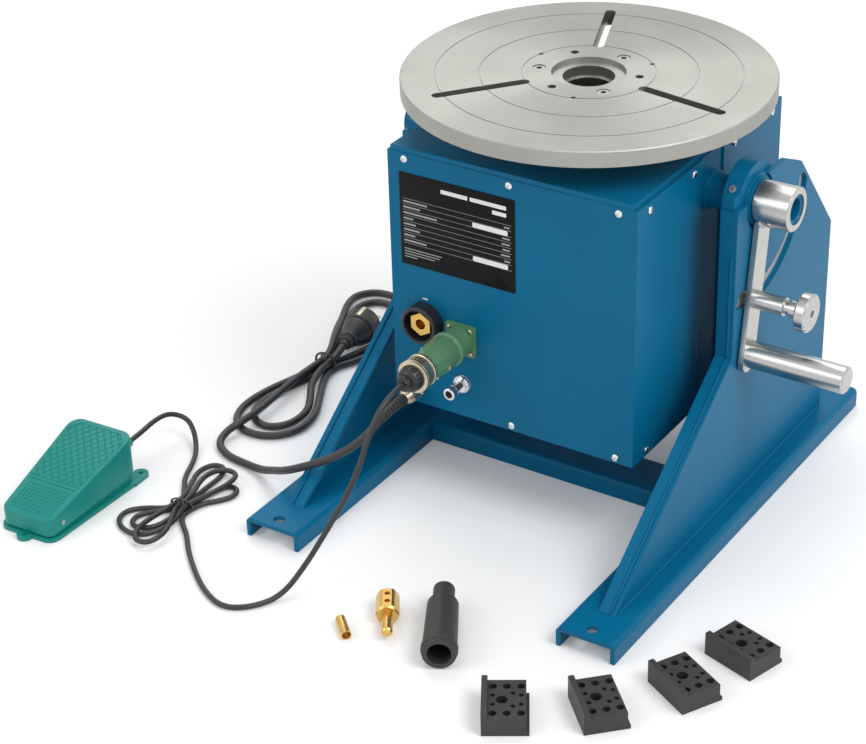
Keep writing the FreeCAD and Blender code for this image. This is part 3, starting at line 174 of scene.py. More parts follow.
# %% The foot switch's cord
pedal_places = [
    (-61.5, -278.5, 206), (-61.5, -308.5, 206), (-66, -334, 178), (-71, -348, 140),
    (-82, -362, 104), (-98, -378, 66), (-112, -396, 32), (-126, -422, 3.1), (-142, -454, 3.1),
    (-168, -470, 3.1), (-202, -456, 3.1), (-236, -430, 3.1), (-264, -404, 3.1), (-283, -382, 3.1),
    (-299, -368.7, 3.1), (-309.8, -357.3, 3.1), (-310.3, -341.2, 3.1), (-305.7, -323.6, 3.1),
    (-292.8, -309, 3.1), (-285.2, -295.8, 3.1), (-288.5, -281.3, 3.1), (-302.4, -279.6, 3.1),
    (-310.5, -296.8, 3.1), (-313.9, -318.6, 3.1), (-316.1, -336.4, 3.1), (-317.5, -348.3, 3.1),
    (-317.7, -364.4, 3.1), (-321.1, -384.2, 3.1), (-332.8, -397.9, 3.1), (-348.8, -397, 3.1),
    (-355.1, -382.1, 3.1), (-345, -365.2, 3.1), (-327.2, -351.2, 3.1), (-322.7, -337.6, 3.1),
    (-321.3, -319.7, 3.1), (-322.2, -293.4, 3.1), (-322, -267.2, 3.1), (-331.2, -251, 3.1),
    (-346.7, -254.1, 3.1), (-352, -273.6, 3.1), (-342.8, -296.9, 3.1), (-331.5, -320.5, 7.6),
    (-325.9, -337.3, 9.4), (-327.6, -351.2, 9.4), (-328.8, -365.1, 9.4), (-331.5, -387, 9.8),
    (-331.1, -409.2, 9.8), (-321.9, -424.4, 8), (-305.5, -422.3, 8), (-299.4, -404.9, 9.6),
    (-304.2, -386.2, 9.8), (-315.7, -364.7, 9.6), (-321.2, -349.9, 9.4), (-319.5, -336, 9.4),
    (-323.1, -317.4, 9.4), (-331.4, -294.3, 9.8), (-330.9, -274.2, 9.8), (-320.1, -259.4, 8),
    (-304.3, -262.3, 8), (-298.4, -280.1, 9.8), (-304, -309.7, 9.6), (-312, -330.9, 9.4),
    (-314.2, -348.8, 9.4), (-312.7, -357, 7.2), (-311.6, -369.2, 3.5), (-313.8, -391.1, 3.1),
    (-328.3, -410.5, 3.1), (-350.4, -409.9, 3.1), (-367.9, -396.7, 3.1), (-370.7, -378.2, 3.1),
    (-356.9, -363.7, 3.1), (-335.3, -352.2, 3.1), (-329.2, -338.9, 3.1), (-331.2, -326.5, 3.1),
    (-344.2, -308.8, 3.1), (-357.2, -291.2, 3.1), (-368, -262, 3.1), (-380, -240, 4),
    (-396, -222, 14), (-410, -216, 26), (-424, -230, 36), (-424.5, -256, 40), (-423.8, -283, 37),
    (-422.8, -305, 37),
]
pedal_cord = lay_cord("pedal_cord", 6, pedal_places)
pedal_line = cord_line(pedal_cord)
print("pedal cord", round(line_length(pedal_line), 3), "m")

# %% [markdown]
# ## Floor and light
# The machine stands on a pale floor that runs far past the camera's view, so no edge of
# it shows.  Three large soft lamps and a pale world light it evenly: the key is high on the
# right, so the fronts of the uprights stay darker than their outer sides.  The world is
# white only to the camera and in reflections, and plain grey as a light.  The floor glows
# a little to the camera in the same way, which keeps it white and leaves its shadows.
#
# Most of the nodes below are made alike, so two helpers set a node's sockets by name.

# %% Helpers for node trees
def set_inputs(node, values):
    """Set a node's sockets by name."""
    for socket, value in values.items():
        node.inputs[socket].default_value = value


def add_node(tree, kind, inputs=None, **settings):
    """A new node with its settings and its socket values."""
    node = tree.nodes.new("ShaderNode" + kind)
    for setting, value in settings.items():
        setattr(node, setting, value)
    set_inputs(node, inputs or {})
    return node


def new_material(name):
    """A node material, its tree and its shader."""
    material = bpy.data.materials.new(name)
    material.use_nodes = True
    return material, material.node_tree, material.node_tree.nodes["Principled BSDF"]


# %% Floor with its shadow
FLOOR_SIZE, FLOOR_DROP = 40, 0.0005
bpy.ops.object.select_all(action="DESELECT")
bpy.ops.mesh.primitive_plane_add(size=FLOOR_SIZE, location=(0, 0, FLOOR - FLOOR_DROP))
floor = bpy.context.active_object
floor.name = "floor"
pale_floor, floor_tree, floor_shader = new_material("pale_floor")
set_inputs(floor_shader, {"Base Color": (0.86, 0.86, 0.86, 1), "Roughness": 0.9,
                          "Specular IOR Level": 0.1, "Emission Color": (1, 1, 1, 1)})
floor.data.materials.append(pale_floor)
print("floor is", [round(value, 1) for value in floor.dimensions])

# %% World
def seen_level(tree, plain, seen):
    """A level that is one number as a light, and another to the camera and in reflections."""
    path = add_node(tree, "LightPath")
    rays = [path.outputs[kind]
            for kind in ("Is Camera Ray", "Is Glossy Ray", "Is Transmission Ray")]
    total = rays[0]
    for ray in rays[1:]:
        higher = add_node(tree, "Math", operation="MAXIMUM")
        tree.links.new(total, higher.inputs[0])
        tree.links.new(ray, higher.inputs[1])
        total = higher.outputs[0]
    level = add_node(tree, "MapRange", {"To Min": plain, "To Max": seen})
    tree.links.new(total, level.inputs["Value"])
    return level.outputs[0]


world = bpy.data.worlds.new("studio")
scene.world = world
world.use_nodes = True
sky = world.node_tree
background = sky.nodes["Background"]
set_inputs(background, {"Color": (1, 1, 1, 1)})
sky.links.new(seen_level(sky, 0.60, 1.0), background.inputs["Strength"])
floor_tree.links.new(seen_level(floor_tree, 0.0, 0.13), floor_shader.inputs["Emission Strength"])
print("world", world.name)


# %% Lamps
def soft_lamp(name, place, aim, size, power):
    """A square area lamp at a place, turned to shine at another."""
    lamp_data = bpy.data.lights.new(name, "AREA")
    lamp_data.size = size
    lamp_data.energy = power
    lamp = bpy.data.objects.new(name, lamp_data)
    lamp.location = place
    lamp.rotation_euler = (Vector(aim) - Vector(place)).to_track_quat("-Z", "Y").to_euler()
    scene.collection.objects.link(lamp)


soft_lamp("key", (2.2, -0.6, 2.2), (0, 0, -0.2), 1.6, 54)
soft_lamp("fill", (-1.6, -2.4, 1.5), (0, 0, -0.2), 1.8, 20)
soft_lamp("top", (-1.0, 1.2, 2.2), (0, 0, 0), 2.0, 26)
scene.view_settings.view_transform = "Standard"

# %% [markdown]
# ## Finishes
# Every surface gets a node material with its own fine structure.  One helper makes the
# usual kind: a base colour that drifts a little over the piece, a roughness that varies,
# and a bump from fine noise.  The noise reads Object coordinates, in metres, so the grain
# has the same scale on a screw and on a side plate.  Where thick paint softens an edge, a
# Bevel node rounds the normals over the radius given as rounded.

# %% A helper for finishes
BUMP_DEPTH = 0.0002
ROUGH_SPREAD = 0.08


def finish(name, colour, rough, metallic=0.0, drift=0.06, drift_scale=9, grain=400, bump=0.1,
           stretch=(1, 1, 1), shine=0.5, rounded=0.0):
    """A Principled material with drifting colour, uneven roughness and a fine bump."""
    material, tree, shader = new_material(name)
    link = tree.links.new
    set_inputs(shader, {"Metallic": metallic, "Specular IOR Level": shine})
    place = add_node(tree, "TexCoord")
    mapping = add_node(tree, "Mapping", {"Scale": stretch})
    link(place.outputs["Object"], mapping.inputs["Vector"])

    wide = add_node(tree, "TexNoise", {"Scale": drift_scale, "Detail": 3})
    link(mapping.outputs[0], wide.inputs["Vector"])
    darker = [channel * (1 - drift) for channel in colour]
    lighter = [min(1, channel * (1 + drift)) for channel in colour]
    tint = add_node(tree, "Mix", {"A": (*darker, 1), "B": (*lighter, 1)}, data_type="RGBA")
    link(wide.outputs["Fac"], tint.inputs["Factor"])
    link(tint.outputs["Result"], shader.inputs["Base Color"])

    fine = add_node(tree, "TexNoise", {"Scale": grain, "Detail": 2})
    link(mapping.outputs[0], fine.inputs["Vector"])
    spread = add_node(tree, "MapRange", {"To Min": rough - ROUGH_SPREAD,
                                         "To Max": rough + ROUGH_SPREAD})
    link(fine.outputs["Fac"], spread.inputs["Value"])
    link(spread.outputs[0], shader.inputs["Roughness"])
    ripple = add_node(tree, "Bump", {"Strength": bump, "Distance": BUMP_DEPTH})
    link(fine.outputs["Fac"], ripple.inputs["Height"])
    link(ripple.outputs[0], shader.inputs["Normal"])
    if rounded:
        soft_edge = add_node(tree, "Bevel", {"Radius": rounded}, samples=4)
        link(soft_edge.outputs[0], ripple.inputs["Normal"])
    return material


# %% Paints, metals, rubbers and plastics
blue_paint = finish("blue_paint", (0.001, 0.132, 0.266), 0.36, grain=700, bump=0.3, drift=0.10,
                    shine=0.13, rounded=0.0012)
teal_paint = finish("teal_paint", (0.005, 0.232, 0.205), 0.36, grain=900, bump=0.25, shine=0.3)
ground_steel = finish("ground_steel", (0.52, 0.52, 0.50), 0.30, 1.0, 0.10, 40, 900, 0.15,
                      stretch=(1, 0.08, 1))
index_steel = finish("index_steel", (0.52, 0.52, 0.50), 0.55, 0.35, 0.15, 60, 700)
dark_steel = finish("dark_steel", (0.42, 0.43, 0.45), 0.35, 1.0, 0.12, 60, 700)
bright_zinc = finish("bright_zinc", (0.75, 0.75, 0.76), 0.22, 1.0, 0.05, 80, 600, 0.05)
turned_steel = finish("turned_steel", (0.50, 0.50, 0.49), 0.24, 1.0, 0.06, 60, 1500, 0.15)
nickel = finish("nickel", (0.60, 0.52, 0.38), 0.30, 1.0, 0.14, 150, 900, 0.1)
brass = finish("brass", (0.72, 0.46, 0.14), 0.30, 1.0, 0.12, 120, 900, 0.1)
copper = finish("copper", (0.72, 0.38, 0.22), 0.35, 1.0, 0.1, 90, 700)
rubber = finish("rubber", (0.032, 0.031, 0.029), 0.52, grain=1100, bump=0.3, drift=0.25,
                drift_scale=30)
cord_rubber = finish("cord_rubber", (0.026, 0.026, 0.027), 0.45, grain=1400, bump=0.2,
                     drift=0.3, drift_scale=45)
black_plastic = finish("black_plastic", (0.014, 0.014, 0.016), 0.38, grain=1200, bump=0.15,
                       drift=0.2)
green_enamel = finish("green_enamel", (0.085, 0.215, 0.105), 0.36, grain=900, bump=0.15,
                      drift=0.12, drift_scale=40)
motor_grey = finish("motor_grey", (0.06, 0.065, 0.07), 0.45, grain=700, bump=0.2)
board_green = finish("board_green", (0.01, 0.10, 0.04), 0.35, grain=500, drift=0.2, drift_scale=60)
print("finishes", len(bpy.data.materials))

# %% [markdown]
# ### The turned face of the table
# The table is a steel disc turned in a lathe and then ground, so its marks are circles
# round its middle.  The distance from the spindle axis drives a noise, which makes rings
# that vary its roughness and its bump.  The shader's anisotropy then spreads each
# highlight into the bright fans that turned steel shows.

# %% Turned disc
disc_steel, disc_tree, disc_shader = new_material("turned_disc")
disc_link = disc_tree.links.new
set_inputs(disc_shader, {"Metallic": 0.85, "Anisotropic": 0.75})
disc_place = add_node(disc_tree, "TexCoord")
blotch = add_node(disc_tree, "TexNoise", {"Scale": 14, "Detail": 6})
disc_link(disc_place.outputs["Object"], blotch.inputs["Vector"])
disc_tint = add_node(disc_tree, "Mix", {"A": (0.29, 0.29, 0.265, 1), "B": (0.42, 0.415, 0.385, 1)},
                     data_type="RGBA")
disc_link(blotch.outputs["Fac"], disc_tint.inputs["Factor"])
disc_link(disc_tint.outputs["Result"], disc_shader.inputs["Base Color"])
print("turned disc", disc_steel.name)

# %% Turning marks on the disc
disc_split = add_node(disc_tree, "SeparateXYZ")
disc_link(disc_place.outputs["Object"], disc_split.inputs[0])
flat_place = add_node(disc_tree, "CombineXYZ")
for axis in ("X", "Y"):
    disc_link(disc_split.outputs[axis], flat_place.inputs[axis])
distance_out = add_node(disc_tree, "VectorMath", operation="LENGTH")
disc_link(flat_place.outputs[0], distance_out.inputs[0])
ring_place = add_node(disc_tree, "CombineXYZ")
disc_link(distance_out.outputs["Value"], ring_place.inputs["X"])
marks = add_node(disc_tree, "TexNoise", {"Scale": 1400, "Detail": 3})
disc_link(ring_place.outputs[0], marks.inputs["Vector"])
disc_rough = add_node(disc_tree, "MapRange", {"To Min": 0.30, "To Max": 0.48})
disc_link(marks.outputs["Fac"], disc_rough.inputs["Value"])
disc_link(disc_rough.outputs[0], disc_shader.inputs["Roughness"])
disc_bump = add_node(disc_tree, "Bump", {"Strength": 0.25, "Distance": 0.0001})
disc_link(marks.outputs["Fac"], disc_bump.inputs["Height"])
disc_link(disc_bump.outputs[0], disc_shader.inputs["Normal"])
disc_tangent = add_node(disc_tree, "Tangent", direction_type="RADIAL", axis="Z")
disc_link(disc_tangent.outputs[0], disc_shader.inputs["Tangent"])
print("disc nodes", len(disc_tree.nodes))

# %% [markdown]
# ### Finishes on the solids
# Each solid takes the finish of the real piece.  One list per finish is easier to read
# than one line per solid, and a count at the end shows that none was missed.

# %% Finishes on the solids
wears = {
    blue_paint: ["left_foot", "right_foot", "cross_channel", "left_upright_plate",
                 "right_upright_plate", "left_upright_strip", "right_upright_strip",
                 "left_bearing_block", "right_bearing_block", "head_frame", "front_cover",
                 "rear_cover", "left_axle", "right_axle", "axle_collar", "tilt_bushes"],
    disc_steel: ["table_plate"],
    index_steel: ["index_plate"],
    ground_steel: ["lever_arm", "bearing_housing", "motor_bracket"],
    turned_steel: ["lever_hub", "plunger_body", "lever_handle", "index_plunger", "spindle"],
    dark_steel: ["spindle_gear", "drive_pinion", "thrust_washer", "pedal_pin", "spindle_bearings",
                 "block_set_screws", "table_screws"],
    bright_zinc: ["cover_screws", "aux_connector", "mains_gland", "pedal_spring", "plug_coupling"],
    green_enamel: ["pedal_socket", "pedal_plug_shell"],
    brass: ["earth_socket_insert", "earth_plug_contact", "earth_plug_ferrule"],
    copper: ["slip_ring"],
    rubber: ["mains_plug", "rubber_feet", "earth_plug_sleeve"],
    black_plastic: ["earth_socket", "plug_gland", "brush_holder", "pedal_switch"],
    cord_rubber: ["mains_lead", "mains_hank", "pedal_lead", "pedal_hank", "pedal_tail"],
    teal_paint: ["pedal_base", "pedal_treadle"],
    motor_grey: ["gear_motor"],
    board_green: ["control_board"],
}
for surface, names in wears.items():
    for name in names:
        nodes[name].data.materials.clear()
        nodes[name].data.materials.append(surface)
dressed = sum(len(names) for names in wears.values())
mains_cord.data.materials.append(cord_rubber)
pedal_cord.data.materials.append(cord_rubber)
print("dressed", dressed, "of", len(nodes), "solids")

# %% [markdown]
# ## Modelling by hand
# The small pieces are made with the same tools a person uses in edit mode.  Most of them
# are round, so one helper grows a piece from a circle: it extrudes the face and scales
# it, ring after ring, as one would with the E and S keys.  Others cut one piece with
# another, apply a modifier, and set a piece in its place.  The last one rounds a finished
# piece's edges, and gives it its finish and the body it rides on.  Everything is
# deselected first each time, because an operator acts on all that is selected.

# %% Helpers: a clean start, and a piece grown ring by ring
def clear_selection():
    """Deselect everything."""
    bpy.ops.object.select_all(action="DESELECT")


def pick(piece):
    """Make one piece the only selected and the active one."""
    clear_selection()
    piece.select_set(True)
    bpy.context.view_layer.objects.active = piece


def grow(name, sides, rings):
    """A closed piece grown from a circle; each ring is (height, radius) in millimetres."""
    clear_selection()
    (height, radius), others = rings[0], rings[1:]
    bpy.ops.mesh.primitive_circle_add(vertices=sides, radius=radius * MM, fill_type="NGON",
                                      location=(0, 0, height * MM))
    piece = bpy.context.active_object
    piece.name = name
    bpy.ops.object.transform_apply(location=True)
    bpy.ops.object.mode_set(mode="EDIT")
    bpy.ops.mesh.select_all(action="SELECT")
    for next_height, next_radius in others:
        rise, scale = (next_height - height) * MM, next_radius / radius
        bpy.ops.mesh.extrude_region_move(TRANSFORM_OT_translate={"value": (0, 0, rise)})
        bpy.ops.transform.resize(value=(scale, scale, 1), center_override=(0, 0, next_height * MM))
        height, radius = next_height, next_radius
    bpy.ops.mesh.select_all(action="SELECT")
    bpy.ops.mesh.normals_make_consistent(inside=False)
    bpy.ops.object.mode_set(mode="OBJECT")
    return piece


# %% Helpers: cutting, setting down and dressing
def carve(piece, cutter, way="DIFFERENCE"):
    """Cut one piece with another, or fuse them, and delete the second."""
    pick(piece)
    modifier = piece.modifiers.new("carve", "BOOLEAN")
    modifier.operation = way
    modifier.object = cutter
    bpy.ops.object.modifier_apply(modifier=modifier.name)
    bpy.data.objects.remove(cutter)


def apply_modifier(piece, kind, **settings):
    """Add one modifier, set it, and apply it."""
    pick(piece)
    modifier = piece.modifiers.new(kind.lower(), kind)
    for setting, value in settings.items():
        setattr(modifier, setting, value)
    bpy.ops.object.modifier_apply(modifier=modifier.name)


def move_to(piece, place, facing=None, roll=0):
    """Turn a piece's own up to face a direction, put it in its place and apply both."""
    pick(piece)
    turn = Quaternion((0, 0, 1), math.radians(roll))
    if facing:
        turn = Vector(facing).to_track_quat("Z", "Y") @ turn
    piece.rotation_euler = turn.to_euler()
    piece.location = place
    bpy.ops.object.transform_apply(location=True, rotation=True, scale=True)


SHARP_ANGLE, SMOOTH_ANGLE = math.radians(40), math.radians(35)


def dress(piece, surface, body, edge=0.0):
    """Round the sharp edges, smooth the rest, and give finish and body."""
    if edge:
        apply_modifier(piece, "BEVEL", width=edge * MM, segments=2, limit_method="ANGLE",
                       angle_limit=SHARP_ANGLE)
    pick(piece)
    bpy.ops.object.shade_smooth_by_angle(angle=SMOOTH_ANGLE)
    piece.data.materials.clear()
    piece.data.materials.append(surface)
    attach(piece, body)


# %% [markdown]
# ### Cover screws
# Twenty-two pan head screws hold the two bent covers.  A head is a low disc that turns
# in at the top, and two crossing blades are taken out of it for the driver.  One screw
# is modelled and copied to every hole, each turned a little differently, as a hand
# leaves them.

# %% Cover screws
screw = grow("screw_model", 24, [(-0.4, 4.2), (0.8, 4.2), (1.5, 3.7), (2.0, 2.6), (2.15, 1.2)])
for blade_turn in (0, 90):
    blade = grow("blade", 4, [(0.7, 0.9), (3.0, 0.9)])
    blade.scale = (3.1, 0.7, 1)
    move_to(blade, (0, 0, 0), roll=blade_turn + 45)
    carve(screw, blade)
print("screw model faces", len(screw.data.polygons))

# %% A screw in every hole
def duplicate(piece, name):
    """A copy with its own mesh."""
    twin = piece.copy()
    twin.data = piece.data.copy()
    twin.name = name
    scene.collection.objects.link(twin)
    return twin


FRONT, SIDE, REAR = -163.5, 149, 163.5      # faces of the head, from the middle of the table
LOW_ROW, HIGH_ROW = 115.5, 400              # rows of screws, above the floor
side_screws = ((-137, HIGH_ROW), (-42, HIGH_ROW), (-134, LOW_ROW),
               (49, HIGH_ROW), (140, HIGH_ROW), (134, LOW_ROW))
screw_places = [((across, FRONT, level), (0, -1, 0))
                for level in (402, LOW_ROW) for across in (-128, 0, 128)]
for way in (-1, 1):
    screw_places += [((SIDE * way, along, level), (way, 0, 0)) for along, level in side_screws]
    screw_places += [((144.4 * way, REAR, level), (0, 1, 0)) for level in (372, 146)]
for count, (place, facing) in enumerate(screw_places):
    head = duplicate(screw, "cover_screw_%02d" % (count + 1))
    move_to(head, at(*place), facing, roll=count * 37)
    dress(head, bright_zinc, "head")
    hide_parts("cover_screws")
print("cover screws", len(screw_places))

# %% [markdown]
# ### Name plate
# A thin black plate with rounded corners carries the machine's data as white print.  It
# is left generic: bars where a title would be, ruled lines, short bars for the words
# and two blank fields for a stamp.  Text objects would do for real words; here each mark
# is a very thin slab.  The bright title and fields are joined into one piece, and the
# finer grey lines and words into another.

# %% Helpers: a flat mark, and joining
def slab(name, width, height, thick, corner, centre):
    """A thin slab that faces the front, with rounded corners."""
    clear_selection()
    bpy.ops.mesh.primitive_plane_add(size=1)
    piece = bpy.context.active_object
    piece.name = name
    piece.scale = (width * MM, height * MM, 1)
    bpy.ops.object.transform_apply(scale=True)
    bpy.ops.object.mode_set(mode="EDIT")
    bpy.ops.mesh.select_all(action="SELECT")
    bpy.ops.mesh.bevel(offset=corner * MM, segments=4, affect="VERTICES")
    bpy.ops.mesh.select_all(action="SELECT")
    bpy.ops.mesh.extrude_region_move(TRANSFORM_OT_translate={"value": (0, 0, thick * MM)})
    bpy.ops.mesh.select_all(action="SELECT")
    bpy.ops.mesh.normals_make_consistent(inside=False)
    bpy.ops.object.mode_set(mode="OBJECT")
    move_to(piece, at(*centre), (0, -1, 0), roll=180)
    return piece


def join(name, parts):
    """Join pieces into one object."""
    clear_selection()
    for part in parts:
        part.select_set(True)
    bpy.context.view_layer.objects.active = parts[0]
    bpy.ops.object.join()
    parts[0].name = name
    return parts[0]


# %% Name plate
plate_black = finish("plate_black", (0.006, 0.006, 0.007), 0.34, grain=1500, bump=0.06,
                     drift=0.3, drift_scale=25, shine=0.12)
ink_grey = finish("ink_grey", (0.36, 0.36, 0.36), 0.5, grain=1200, bump=0.05, drift=0.1)
ink_white = finish("ink_white", (0.80, 0.80, 0.79), 0.45, grain=1200, bump=0.05, drift=0.03)
name_plate = slab("name_plate", 142, 108, 0.8, 1.5, (-64, FRONT, 333))
dress(name_plate, plate_black, "head", edge=0.2)

# %% Marks on the plate
FACE = FRONT - 0.8
LEFT_MARGIN, RIGHT_MARGIN = -130.5, 1
FIRST_RULE, FIRST_WORD, ROW_PITCH = 357, 353.6, 6.55
FIRST_NOTE, NOTE_PITCH = 298, 3.2
bright_marks = [slab("field", 43, 5.6, 0.14, 1.6, (-23, FACE, level)) for level in (346.9, 307.6)]
bright_marks += [slab("title", width, 4.6, 0.1, 0.6, (centre, FACE, level))
                 for width, centre, level in ((33, -66.5, 375.4), (44, -25, 375.4),
                                              (17, -11.5, 367.4))]
dress(join("name_plate_fields", bright_marks), ink_white, "head")

fine_marks = [slab("rule", 134, 0.35, 0.1, 0.1, (-64, FACE, FIRST_RULE - ROW_PITCH * row))
              for row in range(9)]
for row, width in enumerate((30, 21, 42, 12, 15, 20, 14, 28)):
    fine_marks.append(slab("word", width, 1.9, 0.1, 0.3,
                           (LEFT_MARGIN + width / 2, FACE, FIRST_WORD - ROW_PITCH * row)))
for row, width in ((0, 7), (2, 9), (3, 10), (4, 9), (5, 11), (6, 7)):
    fine_marks.append(slab("value", width, 1.7, 0.1, 0.3,
                           (RIGHT_MARGIN - width / 2, FACE, FIRST_WORD - ROW_PITCH * row)))
for row, width in enumerate((47, 44, 38, 16)):
    fine_marks.append(slab("note", width, 1.0, 0.1, 0.2,
                           (LEFT_MARGIN + width / 2, FACE, FIRST_NOTE - NOTE_PITCH * row)))
dress(join("name_plate_words", fine_marks), ink_grey, "head")
print("name plate", [round(value / MM, 1) for value in name_plate.dimensions])

# %% [markdown]
# ### The foot switch's plug
# The round plug is a cast green shell with flat sides, a collar where it meets the
# socket, a ribbed metal ring and a black ribbed gland.  Each part stands on the socket's
# axis, so all of them are grown from a circle there and then turned to face the front.
# A grip is made by pushing every second side face of a ring in a little.

# %% Plug shell
SOCKET = (-61.5, FRONT, 206)
shell = grow("plug_shell", 10, [(29, 18.4), (50, 18.9), (56, 18.3), (73, 15.6), (75.5, 15.2)])
collar = grow("collar", 48, [(25, 18.6), (25.6, 20), (29.6, 20), (30.4, 18.2), (32, 18.2)])
nose = grow("nose", 40, [(18, 16.2), (26, 16.2)])
plug_shell = join("plug_shell", [shell, collar, nose])
move_to(plug_shell, at(*SOCKET), (0, -1, 0), roll=9)
dress(plug_shell, green_enamel, "head", edge=0.7)
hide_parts("pedal_plug_shell")
print("shell faces", len(plug_shell.data.polygons))

# %% A helper for grips
def flute(piece, low, high, depth, step):
    """Push every second side face between two heights inwards, for a grip."""
    pick(piece)
    bpy.ops.object.mode_set(mode="EDIT")
    bpy.ops.mesh.select_all(action="DESELECT")
    bpy.ops.mesh.select_mode(type="FACE")
    mesh = bmesh.from_edit_mesh(piece.data)
    for face in mesh.faces:
        middle = face.calc_center_median()
        around = math.degrees(math.atan2(middle.y, middle.x)) % 360
        if low * MM < middle.z < high * MM and abs(face.normal.z) < 0.3:
            face.select_set(int(around / step) % 2 == 0)
    bmesh.update_edit_mesh(piece.data)
    bpy.ops.mesh.inset(thickness=0.2 * MM, use_individual=True)
    bpy.ops.transform.shrink_fatten(value=-depth * MM)
    bpy.ops.object.mode_set(mode="OBJECT")


# %% Plug ring and gland
ring = grow("plug_ring", 64, [
    (74.5, 15.5), (75, 17.2), (76, 18.4), (79, 18.4), (79.8, 17.4), (80.6, 18.2), (92, 18.2),
    (92.6, 17.2), (93.4, 18.6), (95.4, 18.6), (96, 17.4), (96, 12)])
flute(ring, 81, 91.8, 0.7, 360 / 64)
move_to(ring, at(*SOCKET), (0, -1, 0))
dress(ring, nickel, "head")
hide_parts("plug_coupling")

gland = grow("plug_gland_dome", 40, [
    (95, 14.6), (97, 14.6), (104, 13.6), (107, 11.6), (108, 9.4), (109.4, 9.4), (109.8, 8.2),
    (111.2, 8.2), (111.6, 9), (113.2, 8.6), (113.8, 6.6), (115, 6)])
flute(gland, 97.5, 103.8, 0.6, 360 / 40)
move_to(gland, at(*SOCKET), (0, -1, 0))
dress(gland, black_plastic, "head")
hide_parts("plug_gland")
print("plug parts", plug_shell.name, ring.name, gland.name)

# %% Small screws on the socket and the plug
small_screw = grow("small_screw_model", 16, [(-0.6, 2.5), (1.3, 2.5), (1.9, 1.9), (2.1, 0.9)])
slot_blade = grow("blade", 4, [(1.2, 0.7), (3.0, 0.7)])
slot_blade.scale = (4.6, 0.55, 1)
move_to(slot_blade, (0, 0, 0), roll=45)
carve(small_screw, slot_blade)
FLANGE_HOLE = 13.6
small_places = [((SOCKET[0] + across, FRONT - 4, SOCKET[2] + up), (0, -1, 0))
                for across in (-FLANGE_HOLE, FLANGE_HOLE) for up in (-FLANGE_HOLE, FLANGE_HOLE)]
for around, out, reach in ((-20, 50, 18), (160, 50, 18), (-62, 62, 16.8)):
    away = Vector((math.cos(math.radians(around)), 0, math.sin(math.radians(around))))
    screw_place = (SOCKET[0] + away.x * reach, FRONT - out, SOCKET[2] + away.z * reach)
    small_places.append((screw_place, away))
for count, (place, facing) in enumerate(small_places):
    head = duplicate(small_screw, "plug_screw_%d" % (count + 1))
    move_to(head, at(*place), facing, roll=count * 50)
    dress(head, nickel, "head")
bpy.data.objects.remove(screw)
bpy.data.objects.remove(small_screw)
print("small screws", len(small_places))

# %% [markdown]
# ### The second connector and the mains gland
# Below the plug a thin connector stands out of the panel: a fluted nut, a dark neck and a
# fluted end ring with a deep hole.  The mains cord leaves through a nickel gland with a
# six-sided lock nut and a ribbed cap.  All of it is round or regular, so it is grown from
# circles, and a six-sided circle makes the nut.

# %% Second connector
AUX = (-61, FRONT, 150.5)
nut = grow("nut", 48, [(0, 9.4), (0.4, 10), (4.4, 10), (5, 9.4), (5, 7.4), (8, 7.4),
                       (8.4, 6.8), (8.4, 4)])
flute(nut, 0.6, 4.3, 0.5, 360 / 48)
end = grow("end", 36, [(19.5, 5.6), (20, 7), (28.4, 7), (29, 6.4), (29, 4.4), (22, 4.2), (22, 1)])
flute(end, 20.2, 28.2, 0.4, 360 / 36)
connector = join("connector_metal", [nut, end])
move_to(connector, at(*AUX), (0, -1, 0))
dress(connector, bright_zinc, "head")
neck = grow("connector_neck", 24, [(7, 3.4), (12, 3.4), (12.4, 3.9), (14, 3.9), (14.4, 3.4),
                                   (21, 3.4), (23.4, 3.9)])
move_to(neck, at(*AUX), (0, -1, 0))
dress(neck, black_plastic, "head")
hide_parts("aux_connector")
print("connector", connector.name, neck.name)

# %% Mains gland and panel mark
MAINS = (-120, FRONT, 128)
lock_nut = grow("lock_nut", 6, [(0, 10.4), (5, 10.4)])
body_ring = grow("body_ring", 32, [(4, 8.6), (9, 8.6)])
cap = grow("cap", 36, [(8, 9.4), (8.6, 10.2), (19, 10.2), (24, 9), (28, 6.6), (30, 5.8)])
flute(cap, 8.8, 18.8, 0.6, 360 / 36)
mains_cap = join("mains_gland_cap", [lock_nut, body_ring, cap])
move_to(mains_cap, at(*MAINS), (0, -1, 0), roll=12)
dress(mains_cap, nickel, "head", edge=0.3)
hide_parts("mains_gland")
mark = slab("panel_mark", 7, 1.6, 0.1, 0.3, (-107, FRONT, 241.5))
dress(mark, ink_white, "head")
print("gland", mains_cap.name, "mark", mark.name)

# %% [markdown]
# ### The foot switch
# The treadle is a hollow wedge with rounded corners over a flat base with two ears.  It
# starts as a block that is narrowed at the toe.  Its upright corners are rounded in edit
# mode, two bisecting planes give the sloping top and the lower rim, and a thickness is
# added once its underside is open.  The base has the same outline, a little larger, and a
# lining of the same outline, a little smaller, stands on it inside the treadle.

# %% Foot switch outline
PEDAL_LONG, PEDAL_WIDE, PEDAL_NARROW = 148, 88, 68
PEDAL_TOE, PEDAL_HEEL, PEDAL_TURN = 26, 62, 2.5
TOE_CORNER, HEEL_CORNER = 9, 17
PEDAL = at(-440, -394, 0)
print("foot switch", PEDAL_LONG, "by", PEDAL_WIDE, "mm")


